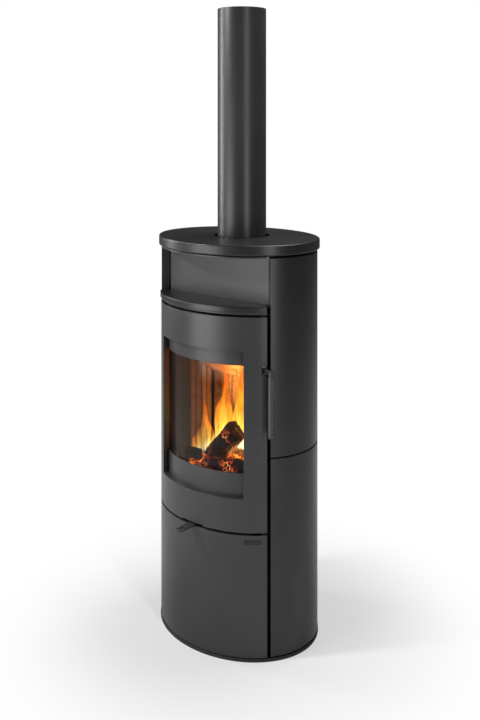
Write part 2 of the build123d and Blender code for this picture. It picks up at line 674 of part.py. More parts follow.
# Firebox roof: the steel plate over the chamber, with the hole for the flue collar.
COLLAR_RADIUS = PIPE_RADIUS - PIPE_WALL - PIPE_FIT
COLLAR_WALL = 3.0
with BuildPart() as firebox_roof:
    with BuildSketch(Plane.XY.offset(ROOF_BOTTOM)):
        Ellipse(HALF_WIDTH - CASING_INSET - CASING_SHEET - 0.5, HALF_DEPTH - CASING_INSET - CASING_SHEET - 0.5)
        with Locations((0, PIPE_Y)):
            Circle(COLLAR_RADIUS - COLLAR_WALL, mode=Mode.SUBTRACT)
    extrude(amount=ROOF_THICKNESS)
firebox_roof.part.label = "firebox_roof"

# Flue collar: flanged to the roof, it rises inside the stove and carries the pipe on a stop ring.
COLLAR_TOP = 1160.0
FLANGE_RADIUS = 92.0
FLANGE = 4.0
STOP_RADIUS = 77.0
STOP_HEIGHT = 8.0
with BuildPart() as flue_collar:
    with BuildSketch(Plane.XZ):
        with BuildLine():
            Polyline(
                (COLLAR_RADIUS - COLLAR_WALL, ROOF_BOTTOM + ROOF_THICKNESS),
                (FLANGE_RADIUS, ROOF_BOTTOM + ROOF_THICKNESS),
                (FLANGE_RADIUS, ROOF_BOTTOM + ROOF_THICKNESS + FLANGE),
                (COLLAR_RADIUS, ROOF_BOTTOM + ROOF_THICKNESS + FLANGE),
                (COLLAR_RADIUS, PIPE_SEAT_Z - STOP_HEIGHT),
                (STOP_RADIUS, PIPE_SEAT_Z - STOP_HEIGHT),
                (STOP_RADIUS, PIPE_SEAT_Z),
                (COLLAR_RADIUS, PIPE_SEAT_Z),
                (COLLAR_RADIUS, COLLAR_TOP),
                (COLLAR_RADIUS - COLLAR_WALL, COLLAR_TOP),
                close=True,
            )
        make_face()
    revolve(axis=Axis.Z)
flue_collar.part = flue_collar.part.translate((0, PIPE_Y, 0))
flue_collar.part.label = "flue_collar"

# Flue pipe: one standard length of welded steel pipe, standing on the collar's stop ring.
with BuildPart() as flue_pipe:
    with BuildSketch(Plane.XY.offset(PIPE_SEAT_Z)):
        with Locations((0, PIPE_Y)):
            Circle(PIPE_RADIUS)
            Circle(PIPE_RADIUS - PIPE_WALL, mode=Mode.SUBTRACT)
    extrude(amount=PIPE_LENGTH)
flue_pipe.part.label = "flue_pipe"

# Niche back: the flat sheet behind the warming shelf.
NICHE_SHEET = 2.0
NICHE_SIDE_GAP = 1.0
niche_half = (HALF_WIDTH - PANEL_THICKNESS) * sqrt(
    1 - (NICHE_DEPTH_Y / (HALF_DEPTH - PANEL_THICKNESS)) ** 2
) - NICHE_SIDE_GAP
with BuildPart() as niche_back_panel:
    with BuildSketch(Plane.XY.offset(SHELF_BOTTOM)):
        with Locations((0, NICHE_DEPTH_Y + NICHE_SHEET / 2)):
            Rectangle(2 * niche_half, NICHE_SHEET)
    extrude(amount=TOP_PLATE_BOTTOM - SHELF_BOTTOM)
niche_back_panel.part.label = "niche_back_panel"

# Shelf plate: the steel sheet over the door that carries the shelf slab.
SHELF_PLATE_INSET = 1.0
with BuildPart() as shelf_plate:
    with BuildSketch(Plane.XY.offset(ROOF_BOTTOM + ROOF_THICKNESS)):
        Ellipse(HALF_WIDTH - SHELF_PLATE_INSET, HALF_DEPTH - SHELF_PLATE_INSET)
        keep_front()
        with Locations((0, (NICHE_DEPTH_Y - REACH) / 2)):
            Rectangle(2 * REACH, REACH + NICHE_DEPTH_Y, mode=Mode.INTERSECT)
    extrude(amount=SHELF_PLATE)
shelf_plate.part.label = "shelf_plate"

# Shelf slab: the crescent of ceramic in the niche, a little proud of the door.
SHELF_ROUND = 2.5
with BuildPart() as shelf_slab:
    with BuildSketch(Plane.XY.offset(SHELF_BOTTOM)):
        Ellipse(HALF_WIDTH + SHELF_PROUD, HALF_DEPTH + SHELF_PROUD)
        keep_front()
        with Locations((0, (NICHE_DEPTH_Y - REACH) / 2)):
            Rectangle(2 * REACH, REACH + NICHE_DEPTH_Y, mode=Mode.INTERSECT)
    extrude(amount=SHELF_SLAB)
    curved_face = shelf_slab.faces().filter_by(GeomType.PLANE, reverse=True).sort_by(SortBy.AREA)[-1]
    fillet(curved_face.edges(), SHELF_ROUND)
shelf_slab.part.label = "shelf_slab"

# Top plate: closes the body under the slab and shows as a thin lip over the niche.
TOP_PLATE_INSET = 1.0
PLATE_HOLE = 80.0
with BuildPart() as top_plate:
    with BuildSketch(Plane.XY.offset(TOP_PLATE_BOTTOM)):
        Ellipse(HALF_WIDTH - TOP_PLATE_INSET, HALF_DEPTH - TOP_PLATE_INSET)
        keep_front()
        Ellipse(HALF_WIDTH - PANEL_THICKNESS - 1, HALF_DEPTH - PANEL_THICKNESS - 1)
        with Locations((0, PIPE_Y)):
            Circle(PLATE_HOLE, mode=Mode.SUBTRACT)
    extrude(amount=TOP_PLATE)
top_plate.part.label = "top_plate"

# Slab pads: six felt discs that carry the top slab and leave a shadow gap.
PAD_RADIUS = 10.0
PAD_RING = 0.78
PAD_COUNT = 6
with BuildPart() as slab_pads:
    with BuildSketch(Plane.XY.offset(TOP_PLATE_BOTTOM + TOP_PLATE)):
        for pad in range(PAD_COUNT):
            pad_angle = radians(360 * (pad + 0.5) / PAD_COUNT)
            with Locations((PAD_RING * HALF_WIDTH * cos(pad_angle), PAD_RING * HALF_DEPTH * sin(pad_angle))):
                Circle(PAD_RADIUS)
    extrude(amount=PAD_HEIGHT)
slab_pads.part.label = "slab_pads"

# Top slab: thick glazed ceramic with softly rounded edges and a clean hole for the pipe.
SLAB_ROUND = 4.0
HOLE_ROUND = 2.0
with BuildPart() as top_slab:
    with BuildSketch(Plane.XY.offset(SLAB_BOTTOM)):
        Ellipse(HALF_WIDTH + SLAB_OVERHANG, HALF_DEPTH + SLAB_OVERHANG)
        with Locations((0, PIPE_Y)):
            Circle(SLAB_HOLE / 2, mode=Mode.SUBTRACT)
    extrude(amount=SLAB_THICKNESS)
    slab_faces = top_slab.faces().sort_by(Axis.Z)
    fillet((slab_faces[0].outer_wire().edges(), slab_faces[-1].outer_wire().edges()), SLAB_ROUND)
    fillet(top_slab.faces().sort_by(Axis.Z)[-1].inner_wires()[0].edges(), HOLE_ROUND)
top_slab.part.label = "top_slab"

# Door shell: the curved outer sheet of the door, its opening folded in to a deep reveal, with a
# relief under the air lever, a relief for the latch arm and two hinge knuckles.
ARM_RELIEF_X = 197.0
ARM_RELIEF_MARGIN = 4.0
KNUCKLE_ROOT = 3.0
LOWER_KNUCKLE_Z = FRONT_FRAME_BOTTOM + HINGE_PLATE + HINGE_WASHER
UPPER_KNUCKLE_Z = FRONT_FRAME_TOP - HINGE_PLATE - HINGE_WASHER - KNUCKLE_HEIGHT
with BuildPart() as opening_reveal:
    with BuildSketch(Plane.XY.offset(DOOR_BOTTOM)):
        oval_ring(DOOR_SKIN / 2, REVEAL_DEPTH)
        keep_strip(-CHAMBER_HALF, CHAMBER_HALF)
    extrude(amount=DOOR_TOP - DOOR_BOTTOM)
    with BuildSketch(Plane.XZ.offset(60)):
        with Locations((0, (OPENING_BOTTOM + OPENING_TOP) / 2)):
            Rectangle(
                2 * (OPENING_HALF + REVEAL_WALL), OPENING_TOP - OPENING_BOTTOM + 2 * REVEAL_WALL
            )
    extrude(amount=200, mode=Mode.INTERSECT)


def hinge_knuckles(bottoms, skin_inset):
    """Round knuckles on the hinge axis, each with a web out to the skin in front of it."""
    with BuildPart() as knuckles:
        for bottom in bottoms:
            with BuildSketch(Plane.XY.offset(bottom)):
                with BuildSketch(mode=Mode.PRIVATE) as inside_skin:
                    Ellipse(HALF_WIDTH - skin_inset, HALF_DEPTH - skin_inset)
                with Locations((HINGE_X, HINGE_Y)):
                    Circle(KNUCKLE_RADIUS)
                with Locations((HINGE_X, HINGE_Y - KNUCKLE_RADIUS)):
                    Rectangle(2 * KNUCKLE_RADIUS, 2 * KNUCKLE_RADIUS)
                add(inside_skin.sketch, mode=Mode.INTERSECT)
                with Locations((HINGE_X, HINGE_Y)):
                    Circle(PIN_RADIUS + PIN_CLEARANCE, mode=Mode.SUBTRACT)
            extrude(amount=KNUCKLE_HEIGHT)
    return knuckles


with BuildPart() as door_shell:
    with BuildSketch(Plane.XY.offset(DOOR_BOTTOM)):
        oval_ring(0, DOOR_SKIN)
        keep_front()
    extrude(amount=DOOR_TOP - DOOR_BOTTOM)
    add(opening_reveal.part)
    add(hinge_knuckles((LOWER_KNUCKLE_Z, UPPER_KNUCKLE_Z), DOOR_SKIN / 2).part)
    front_window(OPENING_HALF, OPENING_BOTTOM, OPENING_TOP, OPENING_CORNER)
    front_window(SLOT_HALF, DOOR_BOTTOM - SLOT_NOTCH, DOOR_BOTTOM + SLOT_NOTCH)
    with BuildSketch(Plane.XZ.offset(60)):
        with Locations((ARM_RELIEF_X + CHAMBER_HALF / 2, GRIP_TOP + ARM_HEIGHT / 2)):
            Rectangle(CHAMBER_HALF, ARM_HEIGHT + 2 * ARM_RELIEF_MARGIN)
    extrude(amount=200, mode=Mode.SUBTRACT)
door_shell.part.label = "door_shell"

# Door inner frame: the pressed sheet set back behind the opening, which shows above and below
# the glass and holds the glass and the seals.
with BuildPart() as door_inner_frame:
    with BuildSketch(Plane.XY.offset(FRAME_BOTTOM)):
        oval_ring(FRAME_INSET, FRAME_INSET + FRAME_SHEET)
        keep_strip(-FRAME_HALF, FRAME_HALF)
    extrude(amount=FRAME_TOP - FRAME_BOTTOM)
    front_window(OPENING_HALF + WINDOW_MARGIN, GLASS_BOTTOM, GLASS_TOP, 3)
door_inner_frame.part.label = "door_inner_frame"

# Door glass: one sheet of curved ceramic glass behind the frame.
glass_half = OPENING_HALF + WINDOW_MARGIN + GLASS_LAP
with BuildPart() as door_glass:
    with BuildSketch(Plane.XY.offset(GLASS_BOTTOM - 2 * GLASS_LAP)):
        oval_ring(GLASS_INSET, GLASS_BACK_INSET)
        keep_strip(-glass_half, glass_half)
    extrude(amount=GLASS_TOP - GLASS_BOTTOM + 4 * GLASS_LAP)
door_glass.part.label = "door_glass"

# Glass seal: the flat woven tape between the frame and the glass.
with BuildPart() as glass_seal:
    with BuildSketch(Plane.XY.offset(GLASS_BOTTOM - 2 * GLASS_LAP)):
        oval_ring(SEAL_INSET, GLASS_INSET)
        keep_strip(-glass_half, glass_half)
    extrude(amount=GLASS_TOP - GLASS_BOTTOM + 4 * GLASS_LAP)
    front_window(OPENING_HALF + WINDOW_MARGIN, GLASS_BOTTOM - WINDOW_MARGIN, GLASS_TOP + WINDOW_MARGIN, 3)
glass_seal.part.label = "glass_seal"

# Glass clips: stepped spring clips that hold the glass, each with one screw into the frame.
CLIP_HALF = 12.0
CLIP_SHEET = 2.0
CLIP_FOOT = 18.0
CLIP_LAP = 8.0
CLIP_PLACES = (-105.0, 0.0, 105.0)
SCREW_RADIUS = 4.0
SCREW_HEIGHT = 2.0
clip_edges = ((GLASS_TOP + 2 * GLASS_LAP, 1), (GLASS_BOTTOM - 2 * GLASS_LAP, -1))
with BuildPart() as glass_clips:
    for edge_z, way in clip_edges:
        for clip_x in CLIP_PLACES:
            foot_start = edge_z if way > 0 else edge_z - CLIP_FOOT
            with BuildSketch(Plane.XY.offset(foot_start)):
                oval_ring(SEAL_INSET, GLASS_BACK_INSET + CLIP_SHEET)
                keep_strip(clip_x - CLIP_HALF, clip_x + CLIP_HALF)
            extrude(amount=CLIP_FOOT)
            with BuildSketch(Plane.XY.offset(edge_z - CLIP_LAP if way > 0 else edge_z)):
                oval_ring(GLASS_BACK_INSET, GLASS_BACK_INSET + CLIP_SHEET)
                keep_strip(clip_x - CLIP_HALF, clip_x + CLIP_HALF)
            extrude(amount=CLIP_LAP)
glass_clips.part.label = "glass_clips"

# Clip screws: low round heads on the clips.
with BuildPart() as clip_screws:
    for edge_z, way in clip_edges:
        for clip_x in CLIP_PLACES:
            head_plane = oval_plane(clip_x, edge_z + way * CLIP_FOOT / 2, GLASS_BACK_INSET + CLIP_SHEET + 0.05)
            with BuildSketch(head_plane):
                Circle(SCREW_RADIUS)
            extrude(amount=-SCREW_HEIGHT)
clip_screws.part.label = "clip_screws"

# Door seal: the rope seal round the rim, just clear of the front frame when the door is shut.
with BuildPart() as door_seal:
    with BuildSketch(Plane.XY.offset(FRAME_BOTTOM)):
        oval_ring(SEAL_INSET, FRONT_FRAME_INSET - SEAL_CLEARANCE)
        keep_strip(-FRAME_HALF, FRAME_HALF)
    extrude(amount=FRAME_TOP - FRAME_BOTTOM)
    front_window(FRAME_HALF - SEAL_WIDTH, FRAME_BOTTOM + SEAL_WIDTH, FRAME_TOP - SEAL_WIDTH, 4)
door_seal.part.label = "door_seal"


# Lower door: the curved cover over the ash and duct space, with returns at its head and foot.
COVER_HINGE_MARGIN = 16.0
lower_knuckle_bottom = BASE_TOP + COVER_HINGE_MARGIN + HINGE_PLATE + HINGE_WASHER
upper_knuckle_bottom = LOWER_DOOR_TOP - COVER_HINGE_MARGIN - HINGE_PLATE - HINGE_WASHER - KNUCKLE_HEIGHT
with BuildPart() as lower_door:
    with BuildSketch(Plane.XY.offset(BASE_TOP + COVER_GAP)):
        oval_ring(0, LOWER_SKIN)
        keep_front()
    extrude(amount=LOWER_DOOR_TOP - BASE_TOP - COVER_GAP)
    for return_bottom in (BASE_TOP + COVER_GAP, LOWER_DOOR_TOP - LOWER_SKIN):
        with BuildSketch(Plane.XY.offset(return_bottom)):
            oval_ring(LOWER_SKIN / 2, LOWER_RETURN)
            keep_strip(-FRAME_HALF, FRAME_HALF)
        extrude(amount=LOWER_SKIN)
    add(hinge_knuckles((lower_knuckle_bottom, upper_knuckle_bottom), LOWER_SKIN / 2).part)
lower_door.part.label = "lower_door"

# Hinge plates and pins: a lug and a pin at the foot and the head of each door, on one axis.
PIN_LENGTH = 22.0
plate_bottoms = (
    BASE_TOP + COVER_HINGE_MARGIN, LOWER_DOOR_TOP - COVER_HINGE_MARGIN - HINGE_PLATE,
    FRONT_FRAME_BOTTOM, FRONT_FRAME_TOP - HINGE_PLATE,
)
pin_bottoms = (
    BASE_TOP + COVER_HINGE_MARGIN, LOWER_DOOR_TOP - COVER_HINGE_MARGIN - PIN_LENGTH,
    FRONT_FRAME_BOTTOM, FRONT_FRAME_TOP - PIN_LENGTH,
)
with BuildPart() as hinge_plates:
    for plate_bottom in plate_bottoms:
        with BuildSketch(Plane.XY.offset(plate_bottom)):
            with Locations((HINGE_X, HINGE_Y)):
                Circle(KNUCKLE_RADIUS)
            Polygon(
                (HINGE_X - 2, HINGE_Y + KNUCKLE_RADIUS - 0.5),
                (HINGE_X + 2, HINGE_Y - KNUCKLE_RADIUS + 0.5),
                (-CHAMBER_FRONT_HALF, CHAMBER_FRONT_Y - 5),
                (-CHAMBER_FRONT_HALF, CHAMBER_FRONT_Y),
                (-CHAMBER_FRONT_HALF - 6, CHAMBER_FRONT_Y + 7.5),
                (-CHAMBER_FRONT_HALF - 6, CHAMBER_FRONT_Y + 4.2),
                (HINGE_X + 3.5, HINGE_Y + KNUCKLE_RADIUS - 0.8),
            )
            with Locations((HINGE_X, HINGE_Y)):
                Circle(PIN_RADIUS, mode=Mode.SUBTRACT)
        extrude(amount=HINGE_PLATE)
hinge_plates.part.label = "hinge_plates"

with BuildPart() as hinge_pins:
    for pin_bottom in pin_bottoms:
        with BuildSketch(Plane.XY.offset(pin_bottom)):
            with Locations((HINGE_X, HINGE_Y)):
                Circle(PIN_RADIUS)
        extrude(amount=PIN_LENGTH)
hinge_pins.part.label = "hinge_pins"

# Magnetic catch of the lower door: a magnet case on the shell and a steel keeper on the door.
MAGNET_Z = 180.0
MAGNET_HEIGHT = 46.0
MAGNET_WIDTH = 14.0
MAGNET_FACE_Y = -128.0
MAGNET_GAP = 0.5
MAGNET_X = 164.0
with BuildPart() as magnet_catch:
    with BuildSketch(Plane.XY.offset(MAGNET_Z - MAGNET_HEIGHT / 2)):
        with Locations((MAGNET_X, (MAGNET_FACE_Y + CHAMBER_FRONT_Y) / 2)):
            Rectangle(MAGNET_WIDTH, CHAMBER_FRONT_Y - MAGNET_FACE_Y)
        with Locations((CHAMBER_FRONT_HALF - SHELL_SHEET - MAGNET_WIDTH / 2 - 2, CHAMBER_FRONT_Y + 1)):
            Rectangle(MAGNET_WIDTH + 4, 2)
    extrude(amount=MAGNET_HEIGHT)
magnet_catch.part.label = "magnet_catch"

with BuildPart() as lower_door_keeper:
    with BuildSketch(Plane.XY.offset(MAGNET_Z - MAGNET_HEIGHT / 2)):
        with BuildSketch(mode=Mode.PRIVATE) as behind_skin:
            Ellipse(HALF_WIDTH - LOWER_SKIN, HALF_DEPTH - LOWER_SKIN)
        keeper_back = MAGNET_FACE_Y - MAGNET_GAP
        with Locations((MAGNET_X, keeper_back - REACH / 2)):
            Rectangle(MAGNET_WIDTH, REACH)
        add(behind_skin.sketch, mode=Mode.INTERSECT)
    extrude(amount=MAGNET_HEIGHT)
lower_door_keeper.part.label = "lower_door_keeper"

# Latch: a steel arm turning on a pin behind the right edge of the door. One end carries the
# grip out through the gap beside the door, and the other hooks behind the striker.
LATCH_PIN = 3.0
LATCH_BOSS = 6.5
HOOK_REACH = 16.0
HOOK_ANGLE = 130.0
ARM_Z = GRIP_TOP
LUG_THICKNESS = 4.0
arm_angle = Vector(GRIP_X - LATCH_X, GRIP_Y - LATCH_Y).get_signed_angle(Vector(1, 0), Vector(0, 0, -1))
arm_length = sqrt((GRIP_X - LATCH_X) ** 2 + (GRIP_Y - LATCH_Y) ** 2)
with BuildPart() as latch_arm:
    with BuildSketch(Plane.XY.offset(ARM_Z)):
        with Locations((LATCH_X, LATCH_Y)):
            Circle(LATCH_BOSS)
        with Locations((GRIP_X, GRIP_Y)):
            Circle(GRIP_DIAMETER / 2 - 2)
        with Locations(Location(((LATCH_X + GRIP_X) / 2, (LATCH_Y + GRIP_Y) / 2, 0), (0, 0, arm_angle))):
            Rectangle(arm_length, ARM_THICKNESS)
        with Locations(Location((LATCH_X, LATCH_Y, 0), (0, 0, HOOK_ANGLE))):
            with Locations((HOOK_REACH / 2, 0)):
                Rectangle(HOOK_REACH, ARM_THICKNESS)
            with Locations((HOOK_REACH - 2, 4)):
                Rectangle(4, 5)
        with Locations((LATCH_X, LATCH_Y)):
            Circle(LATCH_PIN + PIN_CLEARANCE, mode=Mode.SUBTRACT)
    extrude(amount=ARM_HEIGHT)
latch_arm.part.label = "latch_arm"

# Latch bracket: two lugs off the door skin, above and below the arm.
with BuildPart() as latch_bracket:
    for lug_bottom in (ARM_Z - HINGE_WASHER - LUG_THICKNESS, ARM_Z + ARM_HEIGHT + HINGE_WASHER):
        with BuildSketch(Plane.XY.offset(lug_bottom)):
            with BuildSketch(mode=Mode.PRIVATE) as behind_door:
                Ellipse(HALF_WIDTH - DOOR_SKIN, HALF_DEPTH - DOOR_SKIN)
            with Locations((LATCH_X, LATCH_Y)):
                Circle(LATCH_BOSS)
            with Locations((LATCH_X - 5, LATCH_Y - 12)):
                Rectangle(17, 24)
            add(behind_door.sketch, mode=Mode.INTERSECT)
            with Locations((LATCH_X, LATCH_Y)):
                Circle(LATCH_PIN, mode=Mode.SUBTRACT)
        extrude(amount=LUG_THICKNESS)
latch_bracket.part.label = "latch_bracket"

with BuildPart() as latch_pin:
    with BuildSketch(Plane.XY.offset(ARM_Z - HINGE_WASHER - LUG_THICKNESS)):
        with Locations((LATCH_X, LATCH_Y)):
            Circle(LATCH_PIN)
    extrude(amount=ARM_HEIGHT + 2 * HINGE_WASHER + 2 * LUG_THICKNESS)
latch_pin.part.label = "latch_pin"

# Striker: the plate on the right jamb that the latch hooks behind.
STRIKER_FRONT_Y = -118.4
STRIKER_SHEET = 3.0
STRIKER_END_X = 183.0
with BuildPart() as door_striker:
    with BuildSketch(Plane.XY.offset(ARM_Z)):
        Polygon(
            (CHAMBER_FRONT_HALF, CHAMBER_FRONT_Y), (CHAMBER_FRONT_HALF, STRIKER_FRONT_Y),
            (STRIKER_END_X, STRIKER_FRONT_Y), (STRIKER_END_X, STRIKER_FRONT_Y + STRIKER_SHEET),
            (CHAMBER_FRONT_HALF + STRIKER_SHEET, STRIKER_FRONT_Y + STRIKER_SHEET),
            (CHAMBER_FRONT_HALF + STRIKER_SHEET, CHAMBER_FRONT_Y + STRIKER_SHEET * 1.25),
        )
    extrude(amount=ARM_HEIGHT)
door_striker.part.label = "door_striker"

# Handle core and cap: the solid bar inside the grip, with a domed foot.
CORE_RADIUS = 6.0
FOOT_HEIGHT = 4.0
with BuildPart() as handle_core:
    with BuildSketch(Plane.XY.offset(GRIP_TOP - GRIP_LENGTH)):
        with Locations((GRIP_X, GRIP_Y)):
            Circle(GRIP_DIAMETER / 2)
    extrude(amount=FOOT_HEIGHT)
    chamfer(handle_core.edges().sort_by(Axis.Z)[0], 1.2)
    with BuildSketch(Plane.XY.offset(GRIP_TOP - GRIP_LENGTH + FOOT_HEIGHT)):
        with Locations((GRIP_X, GRIP_Y)):
            Circle(CORE_RADIUS)
    extrude(amount=GRIP_LENGTH - FOOT_HEIGHT)
handle_core.part.label = "handle_core"

# Handle grip: the thin tube round the core, smooth at the top and pierced below in staggered
# rows so that it stays cool.
PIERCE_RADIUS = 2.5
PIERCE_PITCH = 10.7
PIERCE_ROWS = 10
PIERCE_COLUMNS = 8
PIERCE_START = 10.0
with BuildPart() as handle_grip:
    with BuildSketch(Plane.XY.offset(GRIP_TOP - GRIP_LENGTH + FOOT_HEIGHT)):
        with Locations((GRIP_X, GRIP_Y)):
            Circle(GRIP_DIAMETER / 2)
            Circle(GRIP_DIAMETER / 2 - GRIP_WALL, mode=Mode.SUBTRACT)
    extrude(amount=GRIP_LENGTH - FOOT_HEIGHT)
    for row in range(PIERCE_ROWS):
        row_z = GRIP_TOP - GRIP_LENGTH + FOOT_HEIGHT + PIERCE_START + row * PIERCE_PITCH
        for column in range(PIERCE_COLUMNS // 4):
            turn = 360 / PIERCE_COLUMNS * (2 * column + row % 2)
            with Locations(Location((GRIP_X, GRIP_Y, row_z), (0, 90, turn))):
                Cylinder(PIERCE_RADIUS, 2 * GRIP_DIAMETER, mode=Mode.SUBTRACT)
handle_grip.part.label = "handle_grip"

# Handle screw: a flat head on top of the arm, into the core.
with BuildPart() as handle_screw:
    with BuildSketch(Plane.XY.offset(ARM_Z + ARM_HEIGHT)):
        with Locations((GRIP_X, GRIP_Y)):
            Circle(5)
    extrude(amount=2.5)
handle_screw.part.label = "handle_screw"

# Air lever: the flat bar that turns on a pin under the air box and comes out below the door.
LEVER_EYE = 14.0
LEVER_SLOT_LENGTH = 20.0
LEVER_SLOT_WIDTH = 9.0
LEVER_SLOT_Y = -250.0
with BuildPart() as air_lever:
    with BuildSketch(Plane.XY.offset(LEVER_BOTTOM)):
        with BuildLine():
            lever_half = LEVER_WIDTH / 2
            side_right = Line((lever_half, LEVER_PIVOT_Y), (lever_half, LEVER_TIP_Y + lever_half))
            tip = ThreePointArc(
                (lever_half, LEVER_TIP_Y + lever_half), (0, LEVER_TIP_Y), (-lever_half, LEVER_TIP_Y + lever_half)
            )
            side_left = Line((-lever_half, LEVER_TIP_Y + lever_half), (-lever_half, LEVER_PIVOT_Y))
            close_line = Line((-lever_half, LEVER_PIVOT_Y), (lever_half, LEVER_PIVOT_Y))
        make_face()
        with Locations((0, LEVER_PIVOT_Y)):
            Circle(LEVER_EYE)
            Circle(PIN_RADIUS + PIN_CLEARANCE, mode=Mode.SUBTRACT)
        with Locations((0, LEVER_SLOT_Y)):
            SlotOverall(LEVER_SLOT_LENGTH, LEVER_SLOT_WIDTH, rotation=90, mode=Mode.SUBTRACT)
    extrude(amount=LEVER_THICKNESS)
air_lever.part.label = "air_lever"

# Damper plate: the sector riveted on the lever that covers the air ports as it swings.
DAMPER_THICKNESS = 3.0
with BuildPart() as damper_plate:
    with BuildSketch(Plane.XY.offset(LEVER_BOTTOM + LEVER_THICKNESS)):
        with Locations((0, LEVER_PIVOT_Y)):
            Circle(PORT_REACH + PORT_RADIUS + 4)
        with Locations((0, LEVER_PIVOT_Y - 35)):
            Rectangle(200, 70, mode=Mode.SUBTRACT)
        with Locations((0, LEVER_PIVOT_Y)):
            Circle(LEVER_EYE)
            Circle(PIN_RADIUS + PIN_CLEARANCE, mode=Mode.SUBTRACT)
        with Locations((0, LEVER_PIVOT_Y + PORT_REACH)):
            Circle(8, mode=Mode.SUBTRACT)
    extrude(amount=DAMPER_THICKNESS)
damper_plate.part.label = "damper_plate"

# Lever pivot: the headed pin in the air box that the lever and the damper plate turn on.
PIVOT_HEAD = 7.0
with BuildPart() as lever_pivot:
    with BuildSketch(Plane.XY.offset(LEVER_BOTTOM - 4)):
        with Locations((0, LEVER_PIVOT_Y)):
            Circle(PIVOT_HEAD)
    extrude(amount=3.7)
    with BuildSketch(Plane.XY.offset(LEVER_BOTTOM - 0.3)):
        with Locations((0, LEVER_PIVOT_Y)):
            Circle(PIN_RADIUS)
    extrude(amount=AIR_BOTTOM + AIR_SHEET - LEVER_BOTTOM + 0.3)
lever_pivot.part.label = "lever_pivot"

# Rear cover screws: four domed heads through the cover into the casing's flanges.
COVER_SCREW_ANGLE = 50.0
with BuildPart() as cover_screws:
    for screw_z in (60.0, 1060.0):
        for screw_angle in (COVER_SCREW_ANGLE, 180 - COVER_SCREW_ANGLE):
            x, y = oval_point(screw_angle)
            normal = Vector(x / HALF_WIDTH**2, y / HALF_DEPTH**2, 0).normalized()
            with BuildSketch(Plane(origin=(x, y, screw_z), x_dir=Vector(0, 0, 1).cross(normal), z_dir=normal)):
                Circle(4.5)
            extrude(amount=1.2)
cover_screws.part.label = "cover_screws"

PIECES = [
    base_plate, levelling_screws, firebox_shell, casing, panel_brackets, rear_cover, cover_screws,
    air_spigot, air_duct, air_box, ash_box, ash_pan, firebox_floor, floor_bricks, grate,
    lining_back, baffle, side_liners, ember_bed, front_frame, firebox_roof, flue_collar,
    flue_pipe, niche_back_panel, shelf_plate, shelf_slab, top_plate, slab_pads, top_slab,
    door_shell, door_inner_frame, door_glass, glass_seal, glass_clips, clip_screws, door_seal,
    lower_door, hinge_plates, hinge_pins,
    magnet_catch, lower_door_keeper, latch_arm, latch_bracket, latch_pin, door_striker,
    handle_core, handle_grip, handle_screw, air_lever, damper_plate, lever_pivot,
    *side_panels.values(), *linings.values(), *logs.values(),
]
for piece in PIECES:
    export_step(piece.part, f"parts/{piece.part.label}.step")
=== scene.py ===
import math
import random

import bmesh
import bpy
from mathutils import Matrix, Vector, noise


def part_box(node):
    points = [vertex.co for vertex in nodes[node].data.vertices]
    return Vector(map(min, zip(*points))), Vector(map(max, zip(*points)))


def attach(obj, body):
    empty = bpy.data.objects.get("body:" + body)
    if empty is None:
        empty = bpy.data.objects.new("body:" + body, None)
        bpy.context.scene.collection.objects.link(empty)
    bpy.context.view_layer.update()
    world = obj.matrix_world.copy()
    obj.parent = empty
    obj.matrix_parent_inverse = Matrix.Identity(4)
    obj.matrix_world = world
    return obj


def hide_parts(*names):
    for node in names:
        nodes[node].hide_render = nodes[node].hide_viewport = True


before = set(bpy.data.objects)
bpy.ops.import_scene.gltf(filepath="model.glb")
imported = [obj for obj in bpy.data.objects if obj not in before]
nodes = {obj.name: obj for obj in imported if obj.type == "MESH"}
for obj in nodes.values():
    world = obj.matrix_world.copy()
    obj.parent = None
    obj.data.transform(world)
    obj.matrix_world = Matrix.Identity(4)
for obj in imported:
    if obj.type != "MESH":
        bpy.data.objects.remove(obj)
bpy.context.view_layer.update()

# Camera: level, a little above the top of the stove and to the right of its front, so that the
# uprights stay parallel. Its distance, height and angle come from the oval plan and the pipe.
CAMERA_AZIMUTH = math.radians(39.52)
CAMERA_DISTANCE = 2.7716
CAMERA_HEIGHT = 1.5316
FOCAL_PIXELS = 901.93
FRAME_WIDTH, FRAME_HEIGHT = 480, 720
CENTRE_PIXEL_X = 238.16
HORIZON_PIXEL_Y = 118.79
SENSOR_WIDTH = 36.0
camera_data = bpy.data.cameras.new("camera")
camera_data.sensor_width = SENSOR_WIDTH
camera_data.lens = SENSOR_WIDTH * FOCAL_PIXELS / FRAME_HEIGHT
camera_data.shift_x = (FRAME_WIDTH / 2 - CENTRE_PIXEL_X) / FRAME_HEIGHT
camera_data.shift_y = (HORIZON_PIXEL_Y - FRAME_HEIGHT / 2) / FRAME_HEIGHT
camera = bpy.data.objects.new("camera", camera_data)
camera.location = (
    CAMERA_DISTANCE * math.sin(CAMERA_AZIMUTH),
    -CAMERA_DISTANCE * math.cos(CAMERA_AZIMUTH),
    CAMERA_HEIGHT,
)
camera.rotation_euler = (math.radians(90), 0, CAMERA_AZIMUTH)
bpy.context.collection.objects.link(camera)
bpy.context.scene.camera = camera
bpy.context.scene.view_settings.view_transform = "Standard"


# Heat-proof paint: the doors, the pipe, the rear cover and the plates are folded steel sheet with
# a sprayed and baked satin anthracite coat. It gives a soft sheen over a fine orange-peel surface,
# which is drawn a little coarse so that it shows, with smoother patches where hands wipe it.
def srgb(text):
    """The linear colour of an sRGB hex value."""
    parts = [int(text[i:i + 2], 16) / 255 for i in (1, 3, 5)]
    return (*[p / 12.92 if p <= 0.04045 else ((p + 0.055) / 1.055) ** 2.4 for p in parts], 1.0)


